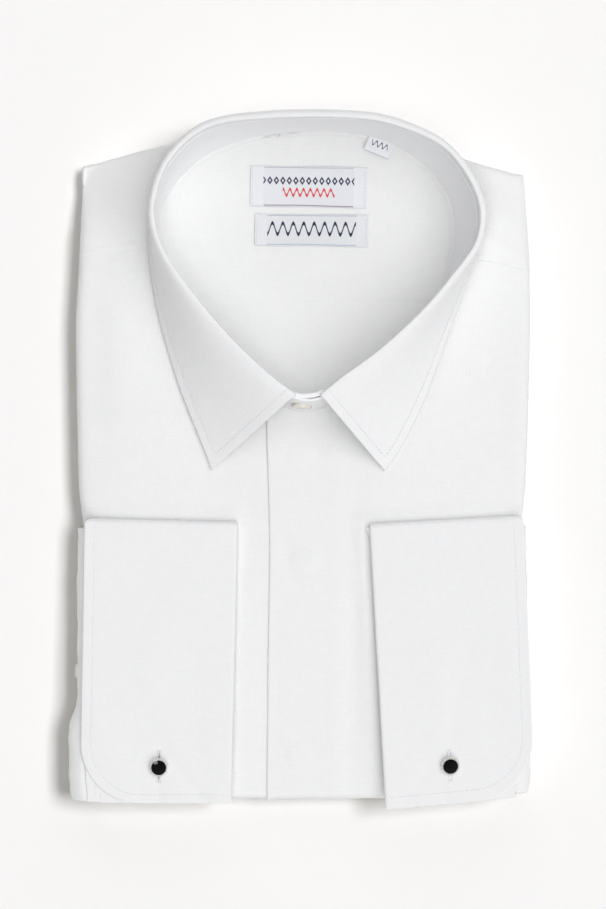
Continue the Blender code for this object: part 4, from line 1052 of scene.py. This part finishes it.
def buildButtonhole(side):
    # a worked buttonhole: satin threads down both sides of the slit, which the post holds open, and a bar at
    # each end, and a thin dark sheet along the slit: painted shade
    x, y = cuff[side][8:10]
    c = np.array(cuff[side])
    down = unit(c[4:6] - c[0:2])
    sideways = np.array((-down[1], down[0]))
    half, reach = 6.6, 1.0
    at = np.linspace(-half, half, 56)
    gap = 0.1 + 0.75 * (1 - (np.abs(at) / half)) ** 1.2

    def placed(along, across, lift):
        xy = np.array((x, y)) + along[:, None] * down + across[:, None] * sideways
        share = (c[1] - xy[:, 1]) / (c[1] - c[5])
        z = cuffMiddle(share) + cuff["outer"] + cuff["wall"] + cuffRelief(side, xy[:, 0], xy[:, 1], share)
        return np.concatenate([xy, (z + lift)[:, None]], axis=1)

    bars = np.linspace(-0.95, 0.95, 9)
    ends = (np.full(9, -half - 0.3), np.full(9, half + 0.3))
    starts = [placed(at, sign * gap, 0.05) for sign in (-1, 1)] + [placed(end - 0.6, bars, 0.05) for end in ends]
    stops = [placed(at, sign * (gap + reach), -0.02) for sign in (-1, 1)]
    stops += [placed(end + 0.6, bars, 0.05) for end in ends]
    starts, stops = np.concatenate(starts), np.concatenate(stops)
    points, faces = threads(starts, stops, np.tile((0.0, 0, 1), (len(starts), 1)), 0.17, 0.16)
    meshPiece(f"buttonhole_{side}", points, faces, whiteThread)
    # the slit sheet: a thin dark plate, painted shade between the satin rows
    span = np.linspace(-half, half, 40)[:, None]
    width = np.array((-1.0, -0.5, 0, 0.5, 1.0)) * (0.05 + 0.75 * (1 - np.abs(span) / half) ** 1.2)
    slit = placed((span + 0 * width).ravel(), width.ravel(), 0.0).reshape(40, 5, 3)
    plump(f"buttonhole_{side}_slit", slit, 0.04, paintedSlitShade, flip=True)


# the slit sheet's dark finish: painted shade
paintedSlitShade = newFinish("slitShade", 0.9)[0]
paintedSlitShade.node_tree.nodes["Principled BSDF"].inputs["Base Color"].default_value = (0.16, 0.16, 0.19, 1)
cuffRightCloth = buildCuff("right")
cuffLeftCloth = buildCuff("left")
buildButtonhole("right")
buildButtonhole("left")

sleeve = {
    "rows": [(-158.6, -102.6, 101.0), (-157.0, -105.2, 101.5), (-153.0, -106.5, 105.9), (-149.0, -106.9, 106.8),
             (-122.0, -107.0, 106.7), (-117.8, -105.6, 106.5),
             (-113.5, -104.0, 106.5), (-95.0, -103.8, 106.0), (-28.5, -103.7, 105.4)],
    "foot": 1.6, "turn": 5.5, "tuck": 0.8, "wall": 0.6, "start": 0.03,
    "stop": {"right": 0.995, "left": 0.99},
}
sleeveSide = {side: softLine(sleeve["rows"], column, 0.9) for side, column in (("right", 1), ("left", 2))}


def buildSleeve(side):
    # a stretch of sleeve: out from under the cuff, round the side and down to where it goes under
    sign = -1 if side == "right" else 1
    along = np.linspace(sleeve["stop"][side], sleeve["start"], 210)[:, None]
    seam = cuffPlace(side, np.full_like(along, cuff["wrist"]), along)
    y = seam[..., 1]
    top = cuffMiddle(along) - 0.4
    outer = sleeveSide[side](y) - sign * 0.8
    inner = seam[..., 0] + sign * 0.6
    puff = hump(y + 136, 22) if side == "right" else 0.5 * hump(y + 120, 40)
    wave = 0.35 * np.sin(y / 5.3) + 0.3 * np.sin(y / 2.3 + 1) + 0.25 * np.sin(y / 1.3) + 0.4 * np.sin(y / 13.0)
    flat = np.linspace(0, 1, 14)[:-1]
    arc = np.linspace(0, math.pi / 2, 16)
    down = np.linspace(0, 1, 26)[1:]
    turn = sleeve["turn"]
    x = np.concatenate([inner + (outer - sign * turn - inner) * flat, outer - sign * turn * (1 - np.sin(arc)),
                        outer - sign * sleeve["tuck"] * down**2], axis=1)
    fall = top - turn - sleeve["foot"]
    z = np.concatenate([top + 0 * flat, top - turn * (0.4 * np.sin(arc) + 0.6 * (1 - np.cos(arc))),
                        top - turn - fall * down], axis=1)
    s = np.concatenate([0 * flat, 0.3 * ease(arc), 0.3 + 0.7 * down])
    z = z - 3.0 * s * (1 - s) * (1 - puff)
    x = x + sign * (wave * np.sin(math.pi * s) * 0.5 - 0.6 * s * (1 - s) * 4 * (1 - puff))
    limit = sleeveSide[side](y)
    x = np.minimum(x, limit) if side == "left" else np.maximum(x, limit)
    grid = stack(x, y + 0 * x, z)
    across, run = lengthAlong(grid, 1), lengthAlong(grid, 0)
    edge = np.minimum(np.minimum(across, across[:, -1:] - across), np.minimum(run, run[-1:] - run))
    half = sleeve["wall"] * rounded(edge, 0.7)
    uv = stack(across, run[:, :1] + 0 * across)
    return plump(f"sleeve_{side}_cloth", grid, half, shirtCloth, [f"sleeve_{side}"], uv,
                 {"seamGap": np.full(half.shape, 9.0)}, flip=side == "right")


def buildPly(name, corners, height, seamInset, flip):
    # a flat ply that shows past the leaf above it: its four corners, from its outer end round, and its stitches
    (x0, y0), (x1, y1), (x2, y2), (x3, y3) = corners
    wide, deep = math.hypot(x3 - x0, y3 - y0), math.hypot(x1 - x0, y1 - y0)
    a = gathered(wide, 1.0, [seamInset])[None] / wide
    b = gathered(deep, 0.9, [deep - seamInset])[:, None] / deep
    x = (1 - b) * (x0 + a * (x3 - x0)) + b * (x1 + a * (x2 - x1))
    y = (1 - b) * (y0 + a * (y3 - y0)) + b * (y1 + a * (y2 - y1))
    grid = stack(x, y, height + 0.12 * np.sin(x / 3) + 0 * y)
    edgeA, edgeB = a * wide + 0 * b, (1 - b) * deep + 0 * a
    rim = np.minimum(np.minimum(edgeA, wide - edgeA), np.minimum(edgeB, deep - edgeB))
    seam = np.minimum(np.abs(edgeA - seamInset) + 9 * (edgeB < seamInset - 0.3),
                      np.abs(edgeB - seamInset) + 9 * (edgeA < seamInset - 0.3))
    half = 0.42 * rounded(rim, 0.5) * (1 - 0.2 * hump(seam, 0.7))
    return plump(name, grid, half, crispCloth, (), stack(x, y),
                 {"seamGap": seam, "seamRun": np.where(edgeA < edgeB, edgeB, edgeA)}, flip=flip)


sleeveRightCloth = buildSleeve("right")
sleeveLeftCloth = buildSleeve("left")
rightEnd = ((-99.2, -136.0), (-97.6, -156.9), (-60.0, -157.0), (-60.0, -136.0))
leftEnd = ((103.6, -138.0), (100.2, -152.7), (62.0, -147.0), (62.0, -138.0))
leftFold = ((52.0, -30.2), (30.4, -31.0), (34.4, -41.0), (52.0, -41.0))
buildPly("cuff_right_lower_end", rightEnd, 29.15, 3.6, False)
buildPly("cuff_left_lower_end", leftEnd, 29.15, 3.0, True)
buildPly("cuff_left_inner_fold", leftFold, 24.9, 9.0, True)
print("links, buttons and labels")


def metalFinish():
    finish, tree, shader = newFinish("linkSilver", 0.3, Metallic=0.5)
    where = tree.nodes.new("ShaderNodeTexCoord").outputs["Object"]
    wear = noiseOf(tree, where, 700.0, 3.0)
    # partly the silver's own tint, partly painted reflection: pale base colours on a half-metallic finish make the
    # silver lit like a matt surface, standing in for the bright surroundings it mirrors; the noise between them is
    # random tone and roughness
    tree.links.new(mixed(tree, wear, (0.74, 0.715, 0.675, 1), (0.88, 0.855, 0.815, 1)), shader.inputs["Base Color"])
    tree.links.new(calc(tree, "MULTIPLY_ADD", wear, 0.16, 0.2), shader.inputs["Roughness"])
    return finish


def enamelFinish():
    finish, tree, shader = newFinish("blackEnamel", 0.07)
    where = tree.nodes.new("ShaderNodeTexCoord").outputs["Object"]
    cloud = noiseOf(tree, where, 500.0, 3.0)
    tree.links.new(mixed(tree, cloud, (0.0015, 0.0015, 0.002, 1), (0.004, 0.004, 0.005, 1)), shader.inputs["Base Color"])
    return finish


def pearlFinish():
    finish, tree, shader = newFinish("creamButton", 0.25, Coat_Weight=0.6, Coat_Roughness=0.1)
    where = tree.nodes.new("ShaderNodeTexCoord").outputs["Object"]
    bands = noiseOf(tree, where, 380.0, 2.0, (1.0, 1.0, 3.0))
    tree.links.new(mixed(tree, bands, (0.74, 0.68, 0.57, 1), (0.90, 0.87, 0.80, 1)), shader.inputs["Base Color"])
    tree.links.new(calc(tree, "MULTIPLY_ADD", bands, 0.2, 0.15), shader.inputs["Roughness"])
    return finish


linkSilver, blackEnamel, creamButton = metalFinish(), enamelFinish(), pearlFinish()

link = {
    "gap": 0.45, "radius": 4.3, "height": 2.2, "stone": 3.42, "dome": 20.0,
    "lean": {"right": (0.02, -0.10), "left": (0.08, -0.16)}, "toggleLong": 6.5, "toggleWide": 2.0,
    "toggleHigh": 2.8, "along": 0.86,
}


def buildLink(side):
    x, y = cuff[side][8:10]
    middle = cuffMiddle(link["along"])
    base = middle + cuff["outer"] + 0.5 + link["gap"]
    r, h, s = link["radius"], link["height"], link["stone"]
    bezel = [(0, 0), (r - 0.9, 0), (r - 0.35, 0.12), (r - 0.08, 0.45), (r, 0.9), (r - 0.02, 1.35), (r - 0.12, 1.75),
             (r - 0.3, 2.05), (r - 0.5, h), (s + 0.12, h), (s + 0.02, h - 0.12), (s, h - 0.3),
             (s - 0.3, h - 0.42), (0, h - 0.42)]
    points, faces = turnedShape(bezel, 72)
    lean = link["lean"][side] + (1.0,)
    points = placedShape(points, (x, y, base), lean)
    meshPiece(f"link_{side}_bezel", points, faces, linkSilver, [f"cufflink_{side}_bezel"])
    dome = [(0, h - 0.40), (s - 0.25, h - 0.40), (s - 0.06, h - 0.3)]
    level = h - 0.12 - math.sqrt(link["dome"] ** 2 - s * s)
    radii = (s - 0.06) * np.cos(np.linspace(0, math.pi / 2, 14)[:-1])
    dome += [(r, level + math.sqrt(link["dome"] ** 2 - r * r)) for r in radii]
    dome += [(0, level + link["dome"])]
    points, faces = turnedShape(dome, 72)
    points = placedShape(points, (x, y, base), lean)
    meshPiece(f"link_{side}_stone", points, faces, blackEnamel, [f"cufflink_{side}_face"])
    under = middle - cuff["outer"] - 0.5
    low = under - link["gap"] - link["toggleHigh"]
    u, v = np.meshgrid(np.linspace(0, 2 * math.pi, 33)[:-1], np.linspace(0, 1, 26)[1:-1], indexing="ij")
    reach = 2 * v - 1
    girth = (1 - reach**8) ** 0.5
    bar = stack(link["toggleWide"] * np.cos(u) * girth, link["toggleLong"] * reach,
                0.5 * link["toggleHigh"] * (1 + np.sin(u) * girth))
    index = np.arange(bar.shape[0] * bar.shape[1]).reshape(bar.shape[:2])
    index = np.concatenate([index, index[:1]])
    points = np.concatenate([bar.reshape(-1, 3), [[0, -link["toggleLong"], 1.4], [0, link["toggleLong"], 1.4]]])
    faces = quadsOf(index)[:, ::-1].tolist()
    n = len(points)
    faces += [[n - 2, a, b] for a, b in zip(index[:-1, 0].tolist(), index[1:, 0].tolist())]
    faces += [[n - 1, b, a] for a, b in zip(index[:-1, -1].tolist(), index[1:, -1].tolist())]
    points = points + np.array((x, y, low))
    reach = base - 0.3 - (low + 1.0)
    post = [(0, 0), (0.7, 0), (1.0, 0.4), (0.85, 0.9), (0.8, reach / 2), (0.85, reach - 0.7),
            (1.3, reach - 0.1), (1.3, reach), (0, reach)]
    more, moreFaces = turnedShape(post, 24)
    more = more + np.array((x, y, low + 1.0))
    moreFaces = [[k + len(points) for k in face] for face in moreFaces]
    meshPiece(f"link_{side}_toggle", np.concatenate([points, more]), faces + moreFaces, linkSilver,
              [f"cufflink_{side}_toggle"])


buildLink("right")
buildLink("left")


def buttonProfile(radius, height):
    # a shirt button: flat back, rolled rim, dished middle
    r, h = radius, height
    return [(0, 0), (r * 0.8, 0), (r * 0.94, h * 0.12), (r, h * 0.38), (r, h * 0.62), (r * 0.95, h * 0.88),
            (r * 0.85, h), (r * 0.74, h * 0.95), (r * 0.64, h * 0.74), (r * 0.5, h * 0.68), (0, h * 0.68)]


def buildButtons():
    normal = unit(np.array((-0.06, -1.0, 0.07)))
    up = unit(np.array((0.0, 0.07, 1.0)))
    seat = np.array((0.75, 25.7, 38.0))
    points, faces = turnedShape(buttonProfile(4.7, 1.7), 64)
    points = placedShape(points, seat, normal, up)
    meshPiece("collar_button_shell", points, faces, creamButton, ["collar_button"])
    side = unit(np.cross(up, normal))
    starts, ends = [], []
    for dx in (-0.9, -0.6, 0.6, 0.9):
        starts.append(seat + side * dx + up * -1.5 + normal * 1.15)
        ends.append(seat + side * dx + up * 1.5 + normal * 1.15)
    for dx in (-0.45, 0.0, 0.45):
        starts.append(seat + side * dx + up * 2.4 + normal * 1.3)
        ends.append(seat + side * dx + up * 4.9 + normal * 1.8)
    starts, ends = np.array(starts), np.array(ends)
    points, faces = threads(starts, ends, np.tile(normal, (len(starts), 1)), 0.36, 0.5)
    meshPiece("collar_button_thread", points, faces, creamThread)
    points, faces = turnedShape(buttonProfile(3.4, 1.6), 56)
    points = placedShape(points, (-102.9, -98.0, 14.0), (-1, 0, 0.12), (0, 0, 1))
    meshPiece("sleeve_button_shell", points, faces, creamButton, ["sleeve_button"])


buildButtons()

labels = {
    "main": {"x": 4.1, "y": 126.6, "long": 54.0, "high": 18.6, "turn": -1.1, "tab": 6.3, "node": "label_main",
             "field": (0.81, 0.818, 0.852, 1), "tabs": (0.85, 0.862, 0.90, 1), "topLine": (0.48, 0.47, 0.56, 1),
             "footLine": (0.16, 0.10, 0.20, 1), "motif": "lozenges",
             "ink": (0.015, 0.02, 0.07, 1), "second": (0.75, 0.05, 0.04, 1)},
    "second": {"x": 5.4, "y": 106.5, "long": 52.6, "high": 14.5, "turn": -0.8, "tab": 5.6, "node": "label_second",
               "field": (0.80, 0.812, 0.84, 1), "tabs": (0.835, 0.84, 0.868, 1), "topLine": (0.42, 0.48, 0.60, 1),
               "footLine": (0.38, 0.50, 0.66, 1), "motif": "wave", "ink": (0.015, 0.02, 0.07, 1)},
}


def labelFinish(name, label):
    # woven label: satin field between two plain tabs, a border line top and foot, and a generic woven motif
    finish, tree, shader = newFinish(name, 0.55, Sheen_Weight=0.25)
    place = tree.nodes.new("ShaderNodeUVMap")
    place.uv_map = "cloth"
    apart = tree.nodes.new("ShaderNodeSeparateXYZ")
    tree.links.new(place.outputs[0], apart.inputs[0])
    u = calc(tree, "MULTIPLY", apart.outputs[0], 1000.0)
    v = calc(tree, "MULTIPLY", apart.outputs[1], 1000.0)
    farU = calc(tree, "ABSOLUTE", u)

    def under(value, limit, soft=0.12):  # 1 below the limit
        return calc(tree, "MULTIPLY_ADD", calc(tree, "SUBTRACT", value, limit), -1 / soft, 0.5, clamp=True)

    inField = under(farU, label["long"] / 2 - label["tab"])
    rib = calc(tree, "MULTIPLY_ADD", waveOf(tree, v, 0.34), 0.5, 0.5)
    twill = calc(tree, "MULTIPLY_ADD", waveOf(tree, calc(tree, "ADD", u, v), 0.5), 0.5, 0.5)
    tone = mixed(tree, inField, label["tabs"], label["field"])
    tone = mixed(tree, calc(tree, "MULTIPLY", rib, 0.08), tone, (0.55, 0.60, 0.72, 1))
    wobble = calc(tree, "MULTIPLY", calc(tree, "SINE", calc(tree, "MULTIPLY", u, 0.16)), 0.12)
    head = label["high"] / 2 - 0.55
    for edge, colour in ((head, label["topLine"]), (-head, label["footLine"])):
        far = calc(tree, "ABSOLUTE", calc(tree, "SUBTRACT", calc(tree, "ADD", v, wobble), edge))
        share = calc(tree, "MULTIPLY_ADD", inField, 0.7, 0.05)
        tone = mixed(tree, calc(tree, "MULTIPLY", under(far, 0.24), share), tone, colour)
    if label["motif"] == "lozenges":
        cell = calc(tree, "SUBTRACT", calc(tree, "PINGPONG", calc(tree, "ADD", u, 91.5), 3.0), 1.5)
        tall = calc(tree, "ABSOLUTE", calc(tree, "SUBTRACT", v, 2.7))
        shape = calc(tree, "MULTIPLY_ADD", tall, 0.5, calc(tree, "MULTIPLY", calc(tree, "ABSOLUTE", cell), 0.78))
        ink = calc(tree, "SUBTRACT", under(shape, 1.0), under(shape, 0.42))
        tone = mixed(tree, calc(tree, "MULTIPLY", ink, under(farU, 21.0)), tone, label["ink"])
        ripple = calc(tree, "MULTIPLY", calc(tree, "SINE", calc(tree, "MULTIPLY", u, 2.0)), 1.5)
        far = calc(tree, "ABSOLUTE", calc(tree, "SUBTRACT", calc(tree, "ADD", v, 2.7), ripple))
        red = calc(tree, "MULTIPLY", under(far, 0.75, 0.3), under(farU, 12.0))
        tone = mixed(tree, red, tone, label["second"])
    else:
        ripple = calc(tree, "MULTIPLY", calc(tree, "SINE", calc(tree, "MULTIPLY", u, 1.3)), 2.6)
        far = calc(tree, "ABSOLUTE", calc(tree, "SUBTRACT", calc(tree, "SUBTRACT", v, 0.6), ripple))
        tone = mixed(tree, calc(tree, "MULTIPLY", under(far, 0.9, 0.35), under(farU, 20.5)), tone, label["ink"])
    tree.links.new(tone, shader.inputs["Base Color"])
    bump = tree.nodes.new("ShaderNodeBump")
    bump.inputs["Distance"].default_value = 0.06 * mm
    tree.links.new(calc(tree, "ADD", rib, twill), bump.inputs["Height"])
    tree.links.new(bump.outputs[0], shader.inputs["Normal"])
    return finish


def buildLabel(name, label):
    u = gathered(label["long"], 0.8)[None] - label["long"] / 2
    v = label["high"] / 2 - gathered(label["high"], 0.7)[:, None]
    turn = math.radians(label["turn"])
    bend = 0.35 * np.sin(u / 9.0) * (v > 0) * (v / label["high"])
    bend = bend + 0.25 * np.sin(u / 6.0 + 1) * (v < 0) * (-v / label["high"])
    x = label["x"] + u * math.cos(turn) - (v + bend) * math.sin(turn)
    y = label["y"] + u * math.sin(turn) + (v + bend) * math.cos(turn)
    z = body["top"] + 0.75 - neckFloor(x, y) + 0.12 * np.sin(u / 7) + 0.5 * softFolds(x, y, yokes["innerFolds"])
    grid = stack(x, y, z)
    rim = np.minimum(np.minimum(u + label["long"] / 2, label["long"] / 2 - u),
                     np.minimum(v + label["high"] / 2, label["high"] / 2 - v))
    half = 0.28 * rounded(rim, 0.4)
    finish = labelFinish(f"{name}LabelWeave", label)
    plump(f"label_{name}_cloth", grid, half, finish, [label["node"]], stack(u + 0 * v, v + 0 * u),
          flip=True)
    for k, end in enumerate((-1, 1)):
        line = np.linspace(-label["high"] / 2 + 0.8, label["high"] / 2 - 0.8, 40)
        across = np.full(40, end * (label["long"] / 2 - 1.0))
        px = label["x"] + across * math.cos(turn) - line * math.sin(turn)
        py = label["y"] + across * math.sin(turn) + line * math.cos(turn)
        pz = body["top"] + 1.03 - neckFloor(px, py) + 0.12 * math.sin(across[0] / 7)
        pz = pz + 0.5 * softFolds(px, py, yokes["innerFolds"])
        path, up = stack(px, py, pz), np.tile((0.0, 0, 1), (40, 1))
        seamThreads(f"label_{name}_stitches_{k}", path, up, 1.5, labelThread, 0.13)


labelThread = plainThread("labelThread", (0.66, 0.74, 0.88, 1))
buildLabel("main", labels["main"])
buildLabel("second", labels["second"])


def buildSizeLoop():
    # a small folded tab: its two plies meet in a rounded fold at the free end
    place, turn, wide, long = (37.2, 146.3), math.radians(-22.3), 12.4, 9.2
    u = gathered(wide, 0.6)[None] - wide / 2
    s = np.linspace(0, 1, 44)[:, None]
    top = np.clip(s / 0.45, 0, 1)
    bend = np.clip((s - 0.45) / 0.1, 0, 1) * math.pi
    back = np.clip((s - 0.55) / 0.45, 0, 1)
    v = long / 2 - long * top - 0.35 * np.sin(bend) + long * back
    z = 22.75 + 0.35 * np.cos(bend) - 0.25 * back + 0.5 * top * (1 - back) + 0 * u
    x = place[0] + u * math.cos(turn) - v * math.sin(turn)
    y = place[1] + u * math.sin(turn) + v * math.cos(turn)
    grid = stack(x, y, z)
    rim = np.minimum(u + wide / 2, wide / 2 - u) + 0 * s
    rim = np.minimum(rim, np.minimum(lengthAlong(grid, 0), lengthAlong(grid[::-1], 0)[::-1]))
    plump("size_loop_cloth", grid, 0.16 * rounded(rim, 0.3), sizeFinish, ["label_size"],
          stack(u + 0 * v, v + 0 * u), flip=True)


def sizeLoopFinish():
    finish, tree, shader = newFinish("sizeLoopWeave", 0.55, Sheen_Weight=0.25)
    place = tree.nodes.new("ShaderNodeUVMap")
    place.uv_map = "cloth"
    apart = tree.nodes.new("ShaderNodeSeparateXYZ")
    tree.links.new(place.outputs[0], apart.inputs[0])
    v = calc(tree, "MULTIPLY", apart.outputs[1], 1000.0)
    rib = calc(tree, "MULTIPLY_ADD", waveOf(tree, v, 0.34), 0.5, 0.5)
    u = calc(tree, "MULTIPLY", apart.outputs[0], 1000.0)
    ripple = calc(tree, "MULTIPLY", calc(tree, "SINE", calc(tree, "MULTIPLY", u, 2.6)), 1.1)
    far = calc(tree, "ABSOLUTE", calc(tree, "SUBTRACT", calc(tree, "ADD", v, 0.6), ripple))
    mark = calc(tree, "MULTIPLY_ADD", far, -3.0, 1.7, clamp=True)
    mark = calc(tree, "MULTIPLY", mark, calc(tree, "MULTIPLY_ADD", calc(tree, "ABSOLUTE", u), -5.0, 21.0, clamp=True))
    tone = mixed(tree, rib, (0.80, 0.808, 0.85, 1), (0.87, 0.875, 0.91, 1))
    tree.links.new(mixed(tree, mark, tone, (0.02, 0.025, 0.07, 1)), shader.inputs["Base Color"])
    bump = tree.nodes.new("ShaderNodeBump")
    bump.inputs["Distance"].default_value = 0.05 * mm
    tree.links.new(rib, bump.inputs["Height"])
    tree.links.new(bump.outputs[0], shader.inputs["Normal"])
    return finish


sizeFinish = sizeLoopFinish()
buildSizeLoop()


# floor, light and camera
def buildFloor():
    mesh = bpy.data.meshes.new("studio_floor")
    mesh.from_pydata([(-3, -3, -0.0003), (3, -3, -0.0003), (3, 3, -0.0003), (-3, 3, -0.0003)], [], [(0, 1, 2, 3)])
    finish, tree, shader = newFinish("floorPaper", 0.9)
    where = tree.nodes.new("ShaderNodeTexCoord").outputs["Object"]
    grain = noiseOf(tree, where, 60.0, 3.0)
    tree.links.new(mixed(tree, grain, (0.915, 0.885, 0.835, 1), (0.93, 0.901, 0.852, 1)), shader.inputs["Base Color"])
    mesh.materials.append(finish)
    floor = bpy.data.objects.new("studio_floor", mesh)
    bpy.context.scene.collection.objects.link(floor)
    return floor


studio = {
    "zenith": 0.07, "horizon": 0.38, "lens": 100.9, "eye": (1.25, 1.6, 1200.0),
    # each lamp: power, size across and ahead in metres, tilt to the wearer's left and ahead in degrees, distance
    "lamps": {"clothKey": (815.0, 7.5, 16.0, 14.0, -6.0, 8.0), "floorKey": (1925.0, 4.0, 5.6, 22.5, 7.0, 16.0),
              "floorGlow": (370.0, 16.0, 10.0, 4.0, 50.0, 16.0),
              "smallFill": (5.0, 0.5, 0.5, -10.2, -5.8, 3.0)},
    "floorTint": (0.955, 0.985, 1.06),
}


def buildStudio(floor):
    # soft lamps, two of them the floor's own, a surround brightest near the horizon, and the eye straight above
    scene = bpy.context.scene
    world = bpy.data.worlds.new("paleStudio")
    world.use_nodes = True
    tree = world.node_tree
    apart = tree.nodes.new("ShaderNodeSeparateXYZ")
    tree.links.new(tree.nodes.new("ShaderNodeTexCoord").outputs["Generated"], apart.inputs[0])
    level = calc(tree, "SUBTRACT", 1.0, calc(tree, "MULTIPLY", apart.outputs[2], apart.outputs[2]))
    strength = calc(tree, "MULTIPLY_ADD", level, studio["horizon"], studio["zenith"])
    tree.nodes["Background"].inputs["Color"].default_value = (1.0, 1.0, 1.0, 1)
    tree.links.new(strength, tree.nodes["Background"].inputs["Strength"])
    scene.world = world
    for name, (power, wide, deep, sideTilt, aheadTilt, far) in studio["lamps"].items():
        lamp = bpy.data.lights.new(name, "AREA")
        lamp.shape = "RECTANGLE"
        lamp.energy = power
        lamp.size, lamp.size_y = wide, deep
        holder = bpy.data.objects.new(name, lamp)
        way = unit(np.array((math.tan(math.radians(sideTilt)), math.tan(math.radians(aheadTilt)), 1.0)))
        holder.location = (way * far).tolist()
        holder.rotation_euler = (-math.asin(way[1]), math.atan2(way[0], way[2]), 0)
        holder.visible_glossy = name == "smallFill"  # only the small one mirrors in the polished parts
        onFloor = name.startswith("floor")
        if name != "smallFill":  # the floor has lamps of its own, so that its shadows stay at the side
            chosen = bpy.data.collections.new(name)
            chosen.objects.link(floor)
            chosen.collection_objects[0].light_linking.link_state = "INCLUDE" if onFloor else "EXCLUDE"
            holder.light_linking.receiver_collection = chosen
        if onFloor:
            lamp.color = studio["floorTint"]
        scene.collection.objects.link(holder)
    eye = bpy.data.cameras.new("viewFromAbove")
    eye.lens = studio["lens"]
    eye.sensor_width = 36.0
    holder = bpy.data.objects.new("viewFromAbove", eye)
    holder.location = [value * mm for value in studio["eye"]]
    scene.collection.objects.link(holder)
    scene.camera = holder
    scene.view_settings.view_transform = "Standard"


buildStudio(buildFloor())
